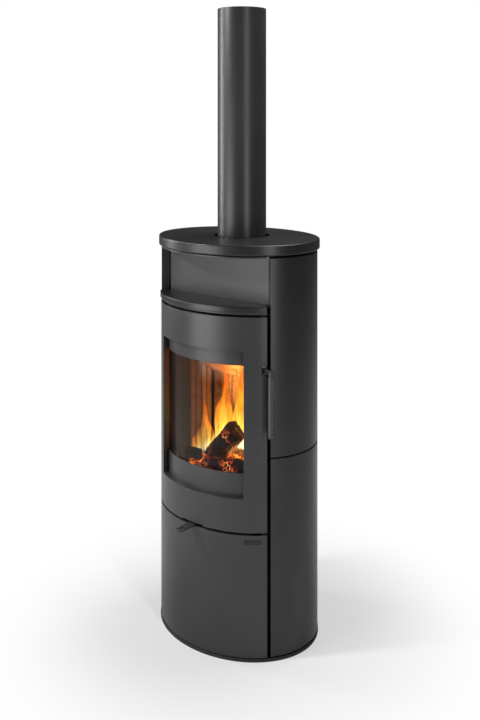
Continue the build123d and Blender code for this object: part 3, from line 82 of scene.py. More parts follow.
def add_node(material, kind, settings=None, links=None, stops=(), **sockets):
    """Adds a node with its properties, sockets, {input: (node, output)} links and ramp stops."""
    node = material.node_tree.nodes.new(kind)
    for key, value in (settings or {}).items():
        setattr(node, key, value)
    for key, value in sockets.items():
        node.inputs[key.replace("_", " ")].default_value = value
    for key, (source, output) in (links or {}).items():
        material.node_tree.links.new(source.outputs[output], node.inputs[key])
    if stops:
        elements = node.color_ramp.elements
        while len(elements) < len(stops):
            elements.new(0.5)
        for element, (position, colour) in zip(elements, stops):
            element.position = position
            element.color = srgb(colour)
    return node


def new_material(name):
    """An empty node material with its output node."""
    material = bpy.data.materials.new(name)
    material.use_nodes = True
    material.node_tree.nodes.clear()
    return material, add_node(material, "ShaderNodeOutputMaterial")


EDGE_RADIUS = 0.0012
# A noise seldom leaves the middle of its range, so gloss is spread over that part.
NOISE_LOW, NOISE_HIGH = 0.3, 0.7


def coated_metal(name, colours, roughness, grain_mm, grain_height_mm, patch_mm=180.0, metallic=0.0):
    """A coat with drifting colour, wiped patches in its gloss and a fine surface grain."""
    material, out = new_material(name)
    place = add_node(material, "ShaderNodeTexCoord")
    drift = add_node(
        material, "ShaderNodeTexNoise", links={"Vector": (place, "Object")},
        Scale=1000.0 / patch_mm, Detail=3.0, Roughness=0.5,
    )
    tint = add_node(
        material, "ShaderNodeValToRGB", links={"Fac": (drift, "Fac")},
        stops=[(0.35, colours[0]), (0.65, colours[1])],
    )
    gloss = add_node(
        material, "ShaderNodeMapRange", links={"Value": (drift, "Fac")},
        From_Min=NOISE_LOW, From_Max=NOISE_HIGH, To_Min=roughness[0], To_Max=roughness[1],
    )
    grain = add_node(
        material, "ShaderNodeTexNoise", links={"Vector": (place, "Object")},
        Scale=1000.0 / grain_mm, Detail=2.0, Roughness=0.6,
    )
    worn_edge = add_node(material, "ShaderNodeBevel", {"samples": 4}, Radius=EDGE_RADIUS)
    relief = add_node(
        material, "ShaderNodeBump",
        links={"Height": (grain, "Fac"), "Normal": (worn_edge, "Normal")},
        Strength=0.5, Distance=grain_height_mm / 1000.0,
    )
    shader = add_node(
        material, "ShaderNodeBsdfPrincipled",
        links={
            "Base Color": (tint, "Color"), "Roughness": (gloss, "Result"), "Normal": (relief, "Normal"),
        },
        Metallic=metallic,
    )
    material.node_tree.links.new(shader.outputs["BSDF"], out.inputs["Surface"])
    return material


def finish_with(material, *names):
    """Gives CAD nodes their material."""
    for name in names:
        nodes[name].data.materials.clear()
        nodes[name].data.materials.append(material)


heatproof_paint = coated_metal(
    "heatproof_paint_sprayed", ("#313132", "#353536"), roughness=(0.33, 0.40),
    grain_mm=1.6, grain_height_mm=0.04,
)
finish_with(
    heatproof_paint, "door_shell", "lower_door", "rear_cover", "shelf_plate", "top_plate",
    "niche_back_panel", "door_inner_frame", "latch_arm", "air_lever",
)
pipe_paint = coated_metal(
    "flue_pipe_paint_sprayed", ("#2e2e2f", "#323233"), roughness=(0.34, 0.40),
    grain_mm=1.6, grain_height_mm=0.04,
)
finish_with(pipe_paint, "flue_pipe")

# Ceramic: the top slab, the shelf and the four side tiles are cast stoneware, fired with a
# satin anthracite glaze. It breaks the sheen into slow ripples and fine pits.
RIPPLE_MM = 60.0
PIT_MM = 2.2
glazed_stoneware, out = new_material("stoneware_satin_glaze")
place = add_node(glazed_stoneware, "ShaderNodeTexCoord")
ripple = add_node(
    glazed_stoneware, "ShaderNodeTexNoise", links={"Vector": (place, "Object")},
    Scale=1000.0 / RIPPLE_MM, Detail=2.0,
)
pits = add_node(
    glazed_stoneware, "ShaderNodeTexNoise", links={"Vector": (place, "Object")},
    Scale=1000.0 / PIT_MM, Detail=3.0, Roughness=0.65,
)
glaze_tint = add_node(
    glazed_stoneware, "ShaderNodeValToRGB", links={"Fac": (ripple, "Fac")},
    stops=[(0.35, "#1d1c1c"), (0.65, "#222121")],
)
glaze_gloss = add_node(
    glazed_stoneware, "ShaderNodeMapRange", links={"Value": (pits, "Fac")},
    From_Min=NOISE_LOW, From_Max=NOISE_HIGH, To_Min=0.30, To_Max=0.40,
)
soft_edge = add_node(glazed_stoneware, "ShaderNodeBevel", {"samples": 4}, Radius=1.5 * EDGE_RADIUS)
slow_relief = add_node(
    glazed_stoneware, "ShaderNodeBump",
    links={"Height": (ripple, "Fac"), "Normal": (soft_edge, "Normal")},
    Strength=0.35, Distance=0.0006,
)
pit_relief = add_node(
    glazed_stoneware, "ShaderNodeBump",
    links={"Height": (pits, "Fac"), "Normal": (slow_relief, "Normal")},
    Strength=0.4, Distance=0.00008,
)
shader = add_node(
    glazed_stoneware, "ShaderNodeBsdfPrincipled",
    links={
        "Base Color": (glaze_tint, "Color"), "Roughness": (glaze_gloss, "Result"),
        "Normal": (pit_relief, "Normal"),
    },
)
glazed_stoneware.node_tree.links.new(shader.outputs["BSDF"], out.inputs["Surface"])
finish_with(
    glazed_stoneware, "top_slab", "shelf_slab", "side_panel_upper_left", "side_panel_upper_right",
    "side_panel_lower_left", "side_panel_lower_right",
)

# Inner steel: the firebox, the casing, the ducts and the pans are plain folded sheet with a matt
# black stove coat, which dust and heat have greyed in patches.
stove_black = coated_metal(
    "matt_black_stove_coat", ("#1b1a1a", "#262423"), roughness=(0.62, 0.75),
    grain_mm=2.5, grain_height_mm=0.12, patch_mm=90.0,
)
finish_with(
    stove_black, "firebox_shell", "casing", "firebox_roof", "firebox_floor", "ash_box", "ash_pan",
    "air_box", "air_duct", "air_spigot", "front_frame", "panel_brackets", "damper_plate", "base_plate",
)

# Liners: bare steel sheet that hangs beside the fire. Heat has turned it slate grey and a little
# dull, with cloudy patches of scale.
liner_steel = coated_metal(
    "heat_greyed_sheet", ("#3a3c3d", "#4a4b4b"), roughness=(0.5, 0.62),
    grain_mm=3.0, grain_height_mm=0.1, patch_mm=70.0, metallic=0.3,
)
finish_with(liner_steel, "side_liners")

# Cast iron: the grate and the flue collar, cast in sand. They keep the sand's texture under dry
# soot, so they are rough and shine nowhere.
cast_iron = coated_metal(
    "sand_cast_iron", ("#242221", "#34302e"), roughness=(0.7, 0.85),
    grain_mm=1.4, grain_height_mm=0.35, patch_mm=30.0,
)
finish_with(cast_iron, "grate", "flue_collar")

# Zinc-plated steel: hinges, pins, clips, screws and catches, turned or pressed and then plated.
# They stay bright between the dark sheets, with a faint grain of small crystals.
zinc_plate = coated_metal(
    "zinc_plated_steel", ("#a9a9a4", "#bdbdb8"), roughness=(0.3, 0.42),
    grain_mm=0.8, grain_height_mm=0.02, patch_mm=12.0, metallic=0.9,
)
finish_with(
    zinc_plate, "hinge_pins", "hinge_plates", "latch_pin", "latch_bracket", "door_striker",
    "lever_pivot", "levelling_screws", "clip_screws", "cover_screws", "glass_clips",
    "magnet_catch", "lower_door_keeper",
)

# Handle: a drawn steel tube, pierced all round below, over a solid bar. The tube has a smooth
# satin coat, and the bar is near black as painted shade, so that the holes look shaded inside.
handle_paint = coated_metal(
    "handle_satin_paint", ("#39393a", "#3e3e3f"), roughness=(0.3, 0.36),
    grain_mm=1.2, grain_height_mm=0.02, patch_mm=40.0,
)
finish_with(handle_paint, "handle_grip", "handle_screw")
# The core's near black is painted shade for the hollow seen through the grip's holes.
core_painted_shade = coated_metal(
    "handle_core_painted_shade_black", ("#161616", "#1c1c1c"), roughness=(0.5, 0.6),
    grain_mm=1.2, grain_height_mm=0.03, patch_mm=20.0,
)
finish_with(core_painted_shade, "handle_core")

# Seals: woven glass-fibre rope and tape round the door and the glass, and felt pads under the
# slab. They are dull and sooty, with the slant of the yarns drawn at about its own size.
YARN_MM = 9.0
seal_fibre, out = new_material("woven_glass_fibre_rope")
place = add_node(seal_fibre, "ShaderNodeTexCoord")
yarns = add_node(
    seal_fibre, "ShaderNodeTexWave", {"wave_type": "BANDS", "bands_direction": "DIAGONAL"},
    {"Vector": (place, "Object")}, Scale=1000.0 / YARN_MM, Distortion=3.0, Detail=1.0,
)
yarn_tint = add_node(
    seal_fibre, "ShaderNodeValToRGB", links={"Fac": (yarns, "Fac")},
    stops=[(0.2, "#232220"), (0.8, "#4a4742")],
)
yarn_relief = add_node(
    seal_fibre, "ShaderNodeBump", links={"Height": (yarns, "Fac")}, Strength=0.8, Distance=0.0008
)
shader = add_node(
    seal_fibre, "ShaderNodeBsdfPrincipled",
    links={"Base Color": (yarn_tint, "Color"), "Normal": (yarn_relief, "Normal")}, Roughness=0.9,
)
seal_fibre.node_tree.links.new(shader.outputs["BSDF"], out.inputs["Surface"])
finish_with(seal_fibre, "door_seal", "glass_seal", "slab_pads")

# Refractory: linings, bricks and baffle pressed from vermiculite flakes and laid in loose. They
# are buff, flecked and dead matt, and the fire has sooted them in patches.
FLECK_MM = 3.5
SOOT_MM = 70.0
vermiculite, out = new_material("pressed_vermiculite")
place = add_node(vermiculite, "ShaderNodeTexCoord")
flecks = add_node(
    vermiculite, "ShaderNodeTexVoronoi", links={"Vector": (place, "Object")}, Scale=1000.0 / FLECK_MM
)
soot = add_node(
    vermiculite, "ShaderNodeTexNoise", links={"Vector": (place, "Object")},
    Scale=1000.0 / SOOT_MM, Detail=4.0,
)
fleck_tint = add_node(
    vermiculite, "ShaderNodeValToRGB", links={"Fac": (flecks, "Color")},
    stops=[(0.2, "#a08055"), (0.8, "#c9a878")],
)
soot_tint = add_node(
    vermiculite, "ShaderNodeValToRGB", links={"Fac": (soot, "Fac")},
    stops=[(0.32, "#a08468"), (0.55, "#ffffff")],
)
# The mix node's colour sockets go by number, because their names repeat.
FIRST_COLOUR, SECOND_COLOUR, MIXED_COLOUR = 6, 7, 2
sooted = add_node(
    vermiculite, "ShaderNodeMix", {"data_type": "RGBA", "blend_type": "MULTIPLY"},
    {FIRST_COLOUR: (fleck_tint, "Color"), SECOND_COLOUR: (soot_tint, "Color")}, Factor=1.0,
)
fleck_relief = add_node(
    vermiculite, "ShaderNodeBump", links={"Height": (flecks, "Distance")}, Strength=0.5, Distance=0.0006
)
shader = add_node(
    vermiculite, "ShaderNodeBsdfPrincipled",
    links={"Base Color": (sooted, MIXED_COLOUR), "Normal": (fleck_relief, "Normal")}, Roughness=0.92,
)
vermiculite.node_tree.links.new(shader.outputs["BSDF"], out.inputs["Surface"])
finish_with(vermiculite, "lining_back", "lining_left", "lining_right", "floor_bricks", "baffle")

# Door glass: a sheet of clear glass ceramic, bent to the oval and clipped behind the door. It has
# a faint amber body, and mirrors the room weakly ahead and more at a slant.
GLASS_IOR = 1.5
glass_ceramic, out = new_material("bent_glass_ceramic")
mirror_edge = add_node(glass_ceramic, "ShaderNodeFresnel", IOR=GLASS_IOR)
cover = add_node(
    glass_ceramic, "ShaderNodeMapRange", links={"Value": (mirror_edge, "Fac")},
    From_Min=0.04, From_Max=0.6, To_Min=0.08, To_Max=0.6,
)
shader = add_node(
    glass_ceramic, "ShaderNodeBsdfPrincipled", links={"Alpha": (cover, "Result")}, Roughness=0.06,
    Base_Color=srgb("#2b2622"),
)
glass_ceramic.node_tree.links.new(shader.outputs["BSDF"], out.inputs["Surface"])
finish_with(glass_ceramic, "door_glass")

# Logs: split beech, charred black, with the bark gone and the char cracked into small blocks
# that glow at their edges where they lie in the fire.
CHAR_BLOCK_MM = 11.0
HOT_PATCH_MM = 45.0
GLOW_STRENGTH = 5.0
charred_beech, out = new_material("charred_split_beech")
place = add_node(charred_beech, "ShaderNodeTexCoord")
blocks = add_node(
    charred_beech, "ShaderNodeTexVoronoi", {"feature": "DISTANCE_TO_EDGE"},
    {"Vector": (place, "Object")}, Scale=1000.0 / CHAR_BLOCK_MM,
)
heat = add_node(
    charred_beech, "ShaderNodeTexNoise", links={"Vector": (place, "Object")},
    Scale=1000.0 / HOT_PATCH_MM, Detail=2.0,
)
char = add_node(
    charred_beech, "ShaderNodeValToRGB", links={"Fac": (heat, "Fac")},
    stops=[(0.3, "#080606"), (0.55, "#120c0a"), (0.75, "#24150f")],
)
seam = add_node(
    charred_beech, "ShaderNodeMapRange", links={"Value": (blocks, "Distance")},
    From_Min=0.0, From_Max=0.035, To_Min=1.0, To_Max=0.0,
)
patch = add_node(
    charred_beech, "ShaderNodeMapRange", links={"Value": (heat, "Fac")},
    From_Min=0.52, From_Max=0.70, To_Min=0.0, To_Max=1.0,
)
glow = add_node(
    charred_beech, "ShaderNodeMath", {"operation": "MULTIPLY"},
    {0: (seam, "Result"), 1: (patch, "Result")},
)
strength = add_node(
    charred_beech, "ShaderNodeMath", {"operation": "MULTIPLY"}, {0: (glow, "Value")}
)
strength.inputs[1].default_value = GLOW_STRENGTH
fire_tint = add_node(
    charred_beech, "ShaderNodeValToRGB", links={"Fac": (glow, "Value")},
    stops=[(0.0, "#c22a05"), (0.6, "#ff6a1a"), (1.0, "#ffc060")],
)
relief = add_node(
    charred_beech, "ShaderNodeBump", links={"Height": (blocks, "Distance")},
    Strength=0.9, Distance=0.003,
)
shader = add_node(
    charred_beech, "ShaderNodeBsdfPrincipled",
    links={
        "Base Color": (char, "Color"), "Emission Color": (fire_tint, "Color"),
        "Emission Strength": (strength, "Value"), "Normal": (relief, "Normal"),
    },
    Roughness=0.85,
)
charred_beech.node_tree.links.new(shader.outputs["BSDF"], out.inputs["Surface"])


def finish_mesh(name, shape, material, body, smooth=True):
    """Turns a bmesh into a piece at the origin that rides on a body."""
    bmesh.ops.recalc_face_normals(shape, faces=shape.faces)
    mesh = bpy.data.meshes.new(name)
    shape.to_mesh(mesh)
    shape.free()
    for face in mesh.polygons:
        face.use_smooth = smooth
    mesh.materials.append(material)
    piece = bpy.data.objects.new(name, mesh)
    bpy.context.collection.objects.link(piece)
    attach(piece, body)
    return piece


def wrapped_grid(shape, around, along):
    """A sheet of vertices rolled round once, as {vertex: (turn, way)} with both from 0 to 1."""
    sheet = bmesh.ops.create_grid(shape, x_segments=around, y_segments=along, size=0.5)["verts"]
    return {vertex: (vertex.co.x + 0.5, vertex.co.y + 0.5) for vertex in sheet}


# Each log has its radius, its length, the middle of its lower end, its direction and the seed of
# its furrows.
LOG_SHAPES = {
    "log_propped": (0.035, 0.135, (-0.066, -0.038, 0.492), (1.0, 0.0, 1.08), 3),
    "log_short": (0.017, 0.056, (-0.148, -0.066, 0.496), (1.0, -0.1, 0.05), 5),
    "log_charred": (0.025, 0.160, (-0.036, -0.110, 0.494), (1.0, 0.12, 0.12), 8),
}
LOG_SIDES, LOG_RINGS = 72, 60
END_SHARE = 0.14
SPLIT_SHARE = 0.6
# Waves to the metre, across the grain and along it.
FURROWS, FINE_FURROWS, CRACKS = (90, 22), (280, 60), (200, 120)
SHRUNK_SHARE = 0.92
FURROW_DEPTH, CRACK_DEPTH, CRACK_SHIFT = 0.10, 0.05, 0.12
MERGE_DISTANCE = 1e-5


def char_relief(spot, waves, offset):
    """Noise drawn out along the grain."""
    across, along = waves
    return noise.noise(Vector((spot.x * across, spot.y * across, spot.z * along + offset)))


for name, (radius, length, start, direction, seed) in LOG_SHAPES.items():
    shape = bmesh.new()
    for vertex, (turn, way) in wrapped_grid(shape, LOG_SIDES, LOG_RINGS).items():
        angle = 2 * math.pi * turn
        end = max(0.0, END_SHARE - way, way - 1 + END_SHARE) / END_SHARE
        spot = Vector((math.cos(angle), math.sin(angle), 0)) * radius * (1 - end)
        spot.x = min(spot.x, radius * SPLIT_SHARE)
        spot.z = length * min(1.0, max(0.0, (way - END_SHARE) / (1 - 2 * END_SHARE)))
        furrow = char_relief(spot, FURROWS, 7 * seed)
        furrow += 0.5 * char_relief(spot, FINE_FURROWS, seed)
        crack = char_relief(spot, CRACKS, seed)
        shrunk = SHRUNK_SHARE + FURROW_DEPTH * furrow + CRACK_DEPTH * crack
        spot.x *= shrunk
        spot.y *= shrunk
        spot.z += radius * CRACK_SHIFT * crack
        vertex.co = spot
    bmesh.ops.remove_doubles(shape, verts=shape.verts, dist=MERGE_DISTANCE)
    way_out = Vector(direction).normalized()
    turned = Matrix.Translation(start) @ way_out.to_track_quat("Z", "Y").to_matrix().to_4x4()
    bmesh.ops.transform(shape, matrix=turned, verts=shape.verts)
    piece = finish_mesh(name + "_burning", shape, charred_beech, "root")
    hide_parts(name)

# Ember bed: a heap of loose charcoal over the grate. Every lump is a small broken block, grey
# with ash on top and glowing from red to yellow deep in the heap.
CHARCOAL_MM = 26.0
VEIN_MM = 9.0
glowing_charcoal, out = new_material("glowing_charcoal")
place = add_node(glowing_charcoal, "ShaderNodeTexCoord")
lumps = add_node(
    glowing_charcoal, "ShaderNodeTexNoise", links={"Vector": (place, "Object")},
    Scale=1000.0 / CHARCOAL_MM, Detail=5.0, Roughness=0.7,
)
veins = add_node(
    glowing_charcoal, "ShaderNodeTexVoronoi", {"feature": "DISTANCE_TO_EDGE"},
    {"Vector": (place, "Object")}, Scale=1000.0 / VEIN_MM,
)
vein_heat = add_node(
    glowing_charcoal, "ShaderNodeMapRange", links={"Value": (veins, "Distance")},
    From_Min=0.0, From_Max=0.18, To_Min=0.25, To_Max=-0.12,
)
heat = add_node(
    glowing_charcoal, "ShaderNodeMath", {"operation": "ADD"},
    {0: (lumps, "Fac"), 1: (vein_heat, "Result")},
)
ember_tint = add_node(
    glowing_charcoal, "ShaderNodeValToRGB", links={"Fac": (heat, "Value")},
    stops=[(0.42, "#200502"), (0.54, "#b01f04"), (0.66, "#ff6410"), (0.8, "#ffb640"), (0.95, "#fff0b0")],
)
ember_strength = add_node(
    glowing_charcoal, "ShaderNodeMapRange", links={"Value": (heat, "Value")},
    From_Min=0.44, From_Max=0.80, To_Min=0.0, To_Max=5.0,
)
ash_tint = add_node(
    glowing_charcoal, "ShaderNodeValToRGB", links={"Fac": (lumps, "Fac")},
    stops=[(0.35, "#0f0b0a"), (0.7, "#4a3a34")],
)
shader = add_node(
    glowing_charcoal, "ShaderNodeBsdfPrincipled",
    links={
        "Base Color": (ash_tint, "Color"), "Emission Color": (ember_tint, "Color"),
        "Emission Strength": (ember_strength, "Result"),
    },
    Roughness=0.95,
)
glowing_charcoal.node_tree.links.new(shader.outputs["BSDF"], out.inputs["Surface"])
bed_low, bed_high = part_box("ember_bed")
bed_middle = (bed_low + bed_high) / 2
bed_half = (bed_high - bed_low) / 2
HEAP_COLUMNS, HEAP_ROWS = 60, 40
HEAP_SLOPE = 1.25
HEAP_SHARE, HEAP_ROUGH_SHARE = 0.62, 0.12
HEAP_SKIN = 0.004
LUMP_SEED = 11
LUMP_COUNT = 420
LUMP_SIZES = (0.005, 0.013)
LUMP_SPREAD = 0.96
LUMP_TOP_SHARE = 0.7
LUMP_SINK, LUMP_LIFT = -0.002, 0.004
draw = random.Random(LUMP_SEED)
shape = bmesh.new()
bmesh.ops.create_grid(shape, x_segments=HEAP_COLUMNS, y_segments=HEAP_ROWS, size=1.0)
outside = [v for v in shape.verts if v.co.x**2 + v.co.y**2 > 1.0]
bmesh.ops.delete(shape, geom=outside, context="VERTS")
for vertex in shape.verts:
    edge = min(1.0, HEAP_SLOPE * (1.0 - vertex.co.length))
    rough = noise.noise(vertex.co * 5.0) + 0.5 * noise.noise(vertex.co * 13.0)
    dome = HEAP_SHARE * math.sqrt(max(edge, 0.0)) + HEAP_ROUGH_SHARE * rough * edge
    vertex.co = Vector((
        bed_middle.x + vertex.co.x * bed_half.x,
        bed_middle.y + vertex.co.y * bed_half.y,
        bed_low.z + 2 * bed_half.z * dome,
    ))
bmesh.ops.solidify(shape, geom=shape.faces[:], thickness=HEAP_SKIN)
for _ in range(LUMP_COUNT):
    around = draw.uniform(0, 2 * math.pi)
    reach = math.sqrt(draw.uniform(0, 0.9))
    size = draw.uniform(*LUMP_SIZES)
    height = LUMP_TOP_SHARE * (1.0 - reach**2) ** 0.5 * 2 * bed_half.z
    spot = Vector((
        bed_middle.x + reach * math.cos(around) * bed_half.x * LUMP_SPREAD,
        bed_middle.y + reach * math.sin(around) * bed_half.y * LUMP_SPREAD,
        bed_low.z + max(height, size * 0.8) + draw.uniform(LUMP_SINK, LUMP_LIFT),
    ))
    turn = Matrix.Rotation(draw.uniform(0, 6.3), 4, "Z")
    turn = turn @ Matrix.Rotation(draw.uniform(-0.6, 0.6), 4, "X")
    stretch = Matrix.Diagonal((size * draw.uniform(0.8, 1.6), size, size * draw.uniform(0.5, 0.8), 1))
    lump = bmesh.ops.create_icosphere(shape, subdivisions=1, radius=1.0)["verts"]
    for vertex in lump:
        vertex.co *= draw.uniform(0.75, 1.15)
    bmesh.ops.transform(shape, matrix=Matrix.Translation(spot) @ turn @ stretch, verts=lump)
embers = finish_mesh("ember_heap", shape, glowing_charcoal, "root", smooth=False)
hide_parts("ember_bed")

# Flames: tongues of burning gas that rise from the embers and the logs, yellow at the root,
# orange above, and thin and torn at their tips. They ride on the stove, which doesn't move.
STREAK_MM = 13.0
STREAK_DRAW = 0.22
flame_gas, out = new_material("burning_wood_gas")
place = add_node(flame_gas, "ShaderNodeTexCoord")
stretch = add_node(
    flame_gas, "ShaderNodeMapping", links={"Vector": (place, "Object")}, Scale=(1.0, 1.0, STREAK_DRAW)
)
streaks = add_node(
    flame_gas, "ShaderNodeTexNoise", links={"Vector": (stretch, "Vector")},
    Scale=1000.0 / STREAK_MM, Detail=4.0,
)
rise = add_node(flame_gas, "ShaderNodeAttribute", {"attribute_name": "rise"})
flame_tint = add_node(
    flame_gas, "ShaderNodeValToRGB", links={"Fac": (rise, "Fac")},
    stops=[(0.0, "#fff2b8"), (0.25, "#ffca4a"), (0.5, "#ff9a24"), (0.8, "#e8650f"), (1.0, "#a8380a")],
)
thin = add_node(
    flame_gas, "ShaderNodeMapRange", links={"Value": (rise, "Fac")},
    From_Min=0.0, From_Max=1.0, To_Min=0.55, To_Max=0.30,
)
torn = add_node(
    flame_gas, "ShaderNodeMapRange", links={"Value": (streaks, "Fac")},
    From_Min=0.38, From_Max=0.62, To_Min=0.05, To_Max=1.0,
)
veil = add_node(
    flame_gas, "ShaderNodeMath", {"operation": "MULTIPLY"}, {0: (thin, "Result"), 1: (torn, "Result")}
)
shader = add_node(
    flame_gas, "ShaderNodeBsdfPrincipled",
    links={"Emission Color": (flame_tint, "Color"), "Alpha": (veil, "Value")},
    Base_Color=srgb("#000000"), Roughness=1.0, Emission_Strength=2.6,
)
shader.inputs["Specular IOR Level"].default_value = 0.0
flame_gas.node_tree.links.new(shader.outputs["BSDF"], out.inputs["Surface"])
# Each tongue has the middle of its foot, its radius, its height and the phase of its sway.
FLAMES = [
    (-0.136, -0.050, 0.490, 0.012, 0.060, 0.3), (-0.122, -0.040, 0.492, 0.014, 0.105, 1.1),
    (-0.104, -0.028, 0.497, 0.016, 0.165, 2.4), (-0.090, -0.022, 0.500, 0.014, 0.120, 5.6),
    (-0.072, -0.010, 0.502, 0.018, 0.205, 0.9), (-0.056, 0.000, 0.505, 0.018, 0.275, 2.9),
    (-0.036, 0.005, 0.505, 0.016, 0.215, 4.9), (-0.018, 0.015, 0.510, 0.018, 0.295, 3.7),
    (0.002, 0.020, 0.515, 0.018, 0.230, 1.9), (0.018, 0.018, 0.540, 0.016, 0.160, 4.4),
    (0.036, 0.010, 0.550, 0.018, 0.200, 5.2), (0.056, 0.000, 0.555, 0.018, 0.140, 2.6),
    (0.078, -0.010, 0.530, 0.020, 0.190, 0.8), (0.104, -0.020, 0.515, 0.020, 0.150, 3.1),
    (0.128, -0.010, 0.505, 0.018, 0.130, 1.6), (0.040, 0.045, 0.500, 0.020, 0.245, 0.5),
    (-0.086, 0.040, 0.495, 0.016, 0.190, 3.9), (-0.010, 0.048, 0.500, 0.018, 0.250, 5.0),
]
FLAME_SIDES, FLAME_RINGS = 14, 22
FOOT_WIDTH, BELLY_WIDTH, TAPER, SPREAD = 0.75, 1.1, 1.05, 1.15
TIP_RADIUS = 0.0005
FLATNESS = 0.45
FLICKER_REACH, FLICKER_WAVES = 0.7, 7.0
LEAN_REACH, LEAN_PHASE = 1.3, 2.1
shape = bmesh.new()
rise_layer = shape.verts.layers.float.new("rise")
for x, y, z, radius, height, phase in FLAMES:
    for vertex, (turn, t) in wrapped_grid(shape, FLAME_SIDES, FLAME_RINGS).items():
        angle = 2 * math.pi * turn
        width = radius * (FOOT_WIDTH + BELLY_WIDTH * t) * (1 - t) ** TAPER * SPREAD + TIP_RADIUS
        sway = FLICKER_REACH * radius * t * math.sin(FLICKER_WAVES * t + phase)
        sway += LEAN_REACH * radius * t * t * math.sin(phase * LEAN_PHASE)
        vertex[rise_layer] = t
        vertex.co = Vector((
            x + math.cos(angle) * width + sway,
            y + math.sin(angle) * width * FLATNESS + 0.3 * sway,
            z + t * height,
        ))
bmesh.ops.remove_doubles(shape, verts=shape.verts, dist=MERGE_DISTANCE)
finish_mesh("flames", shape, flame_gas, "root")

# Blank plate: a small bare strip at the top right of the lower door. It is stamped from thin
# sheet, enamelled black, bent to the door and glued on, and shines a little more than the paint.
PLATE_LEFT, PLATE_RIGHT = 0.158, 0.197
PLATE_LOW, PLATE_HIGH = 0.331, 0.343
PLATE_THICKNESS = 0.0012
PLATE_GLUE = 0.0001
PLATE_COLUMNS, PLATE_ROWS = 24, 6
oval_half_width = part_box("side_panel_lower_right")[1].x
oval_half_depth = -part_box("lower_door")[0].y


def off_the_oval(x, z, distance):
    """A point in front of the door's curved face."""
    y = -oval_half_depth * math.sqrt(1 - (x / oval_half_width) ** 2)
    outward = Vector((x / oval_half_width**2, y / oval_half_depth**2, 0)).normalized()
    return Vector((x, y, z)) + outward * distance


shape = bmesh.new()
bmesh.ops.create_grid(shape, x_segments=PLATE_COLUMNS, y_segments=PLATE_ROWS, size=0.5)
spots = {
    vertex: (
        PLATE_LEFT + (vertex.co.x + 0.5) * (PLATE_RIGHT - PLATE_LEFT),
        PLATE_LOW + (vertex.co.y + 0.5) * (PLATE_HIGH - PLATE_LOW),
    )
    for vertex in shape.verts
}
for vertex, (x, z) in spots.items():
    vertex.co = off_the_oval(x, z, PLATE_GLUE)
raised = bmesh.ops.extrude_face_region(shape, geom=shape.faces[:], use_keep_orig=True)["geom"]
for vertex in [part for part in raised if isinstance(part, bmesh.types.BMVert)]:
    vertex.co = off_the_oval(vertex.co.x, vertex.co.z, PLATE_GLUE + PLATE_THICKNESS)
plate_enamel = coated_metal(
    "blank_plate_black_enamel", ("#0c0c0c", "#121212"), roughness=(0.25, 0.32),
    grain_mm=1.0, grain_height_mm=0.01, patch_mm=20.0,
)
finish_mesh("blank_plate", shape, plate_enamel, "lower_door", smooth=False)

# Floor: a white studio sweep that takes the stove's shade only round its foot. Past that it is
# plain white to the eye and through the glass, and grey cloth to the lamps.
FLOOR_HALF = 60.0
SHADE_START, SHADE_END = 0.28, 0.80
FOOT_WHITENESS = 0.35
floor_white, out = new_material("studio_floor_white")
place = add_node(floor_white, "ShaderNodeTexCoord")
far = add_node(
    floor_white, "ShaderNodeVectorMath", {"operation": "LENGTH"}, {"Vector": (place, "Object")}
)
bare = add_node(
    floor_white, "ShaderNodeMapRange", {"interpolation_type": "SMOOTHSTEP"}, {"Value": (far, "Value")},
    From_Min=SHADE_START, From_Max=SHADE_END, To_Min=FOOT_WHITENESS, To_Max=1.0,
)
ray = add_node(floor_white, "ShaderNodeLightPath")
seen = add_node(
    floor_white, "ShaderNodeMath", {"operation": "ADD", "use_clamp": True},
    {0: (ray, "Is Camera Ray"), 1: (ray, "Is Transmission Ray")},
)
whitened = add_node(
    floor_white, "ShaderNodeMath", {"operation": "MULTIPLY"}, {0: (seen, "Value"), 1: (bare, "Result")}
)
cloth = add_node(floor_white, "ShaderNodeBsdfDiffuse", Color=srgb("#dcdcdc"), Roughness=1.0)
white = add_node(floor_white, "ShaderNodeEmission", Color=(1, 1, 1, 1), Strength=1.0)
mix = add_node(
    floor_white, "ShaderNodeMixShader",
    links={0: (whitened, "Value"), 1: (cloth, "BSDF"), 2: (white, "Emission")},
)
floor_white.node_tree.links.new(mix.outputs["Shader"], out.inputs["Surface"])
shape = bmesh.new()
bmesh.ops.create_grid(shape, x_segments=1, y_segments=1, size=FLOOR_HALF)
floor_mesh = bpy.data.meshes.new("floor")
shape.to_mesh(floor_mesh)
shape.free()
floor_mesh.materials.append(floor_white)
floor = bpy.data.objects.new("floor", floor_mesh)
bpy.context.collection.objects.link(floor)

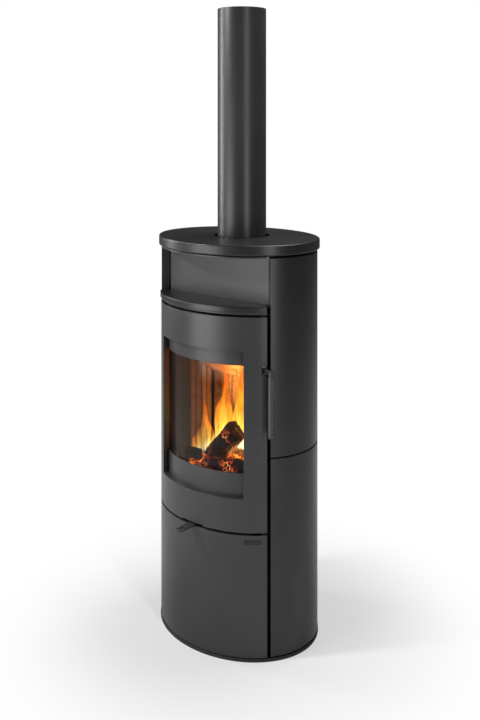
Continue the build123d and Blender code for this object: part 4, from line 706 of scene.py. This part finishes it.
# Studio: a white room that is weak as a light. Around the stove stand a key lamp, a wide soft box
# in front, two tall ones at the sides for the upright highlights, and one above and behind.
ROOM_LIGHT = 0.06
world = bpy.data.worlds.new("studio")
bpy.context.scene.world = world
world.use_nodes = True
world.node_tree.nodes.clear()
world_out = add_node(world, "ShaderNodeOutputWorld")
ray = add_node(world, "ShaderNodeLightPath")
seen = add_node(
    world, "ShaderNodeMath", {"operation": "ADD", "use_clamp": True},
    {0: (ray, "Is Camera Ray"), 1: (ray, "Is Transmission Ray")},
)
level = add_node(
    world, "ShaderNodeMapRange", links={"Value": (seen, "Value")}, To_Min=ROOM_LIGHT, To_Max=1.0
)
sky = add_node(world, "ShaderNodeBackground", links={"Strength": (level, "Result")}, Color=(1, 1, 1, 1))
world.node_tree.links.new(sky.outputs["Background"], world_out.inputs["Surface"])
# Each lamp has its angle round the stove, distance, height, height of aim, width and height of
# its face, and power.
SOFT_BOXES = {
    "key_lamp": (-35, 2.6, 2.6, 0.6, 0.35, 0.35, 56.0),
    "front_soft_box": (-20, 2.2, 0.75, 0.75, 1.3, 1.1, 21.0),
    "pipe_soft_box": (-70, 2.2, 1.65, 1.4, 0.4, 1.5, 26.0),
    "side_soft_box": (63, 2.6, 1.35, 1.1, 0.3, 2.5, 20.0),
    "top_soft_box": (150, 0.8, 3.2, 0.8, 1.2, 1.2, 60.0),
}
for name, (azimuth, distance, height, aim_height, width, tallness, power) in SOFT_BOXES.items():
    data = bpy.data.lights.new(name, "AREA")
    data.shape = "RECTANGLE"
    data.size, data.size_y = width, tallness
    data.energy = power
    lamp = bpy.data.objects.new(name, data)
    turn = math.radians(azimuth)
    lamp.location = (distance * math.sin(turn), -distance * math.cos(turn), height)
    aim = Vector((0, 0, aim_height)) - lamp.location
    lamp.rotation_euler = aim.to_track_quat("-Z", "Y").to_euler()
    bpy.context.collection.objects.link(lamp)

# Firelight: two small orange lamps low in the firebox, one aimed at the back lining and one at the
# baffle above.
FIRELIGHT_COLOUR = (1.0, 0.40, 0.10)
FIRELIGHT_RADIUS = 0.04
FIRELIGHT_BLEND = 0.7
for name, spot, target, spread, power in (
    ("flames_light", (0.02, -0.05, 0.58), (0.07, 0.10, 0.70), 140, 26.0),
    ("ember_light", (0.0, -0.03, 0.50), (0.0, 0.0, 1.0), 120, 2.0),
):
    data = bpy.data.lights.new(name, "SPOT")
    data.energy = power
    data.color = FIRELIGHT_COLOUR
    data.shadow_soft_size = FIRELIGHT_RADIUS
    data.spot_size = math.radians(spread)
    data.spot_blend = FIRELIGHT_BLEND
    lamp = bpy.data.objects.new(name, data)
    lamp.location = spot
    lamp.rotation_euler = (Vector(target) - Vector(spot)).to_track_quat("-Z", "Y").to_euler()
    bpy.context.collection.objects.link(lamp)
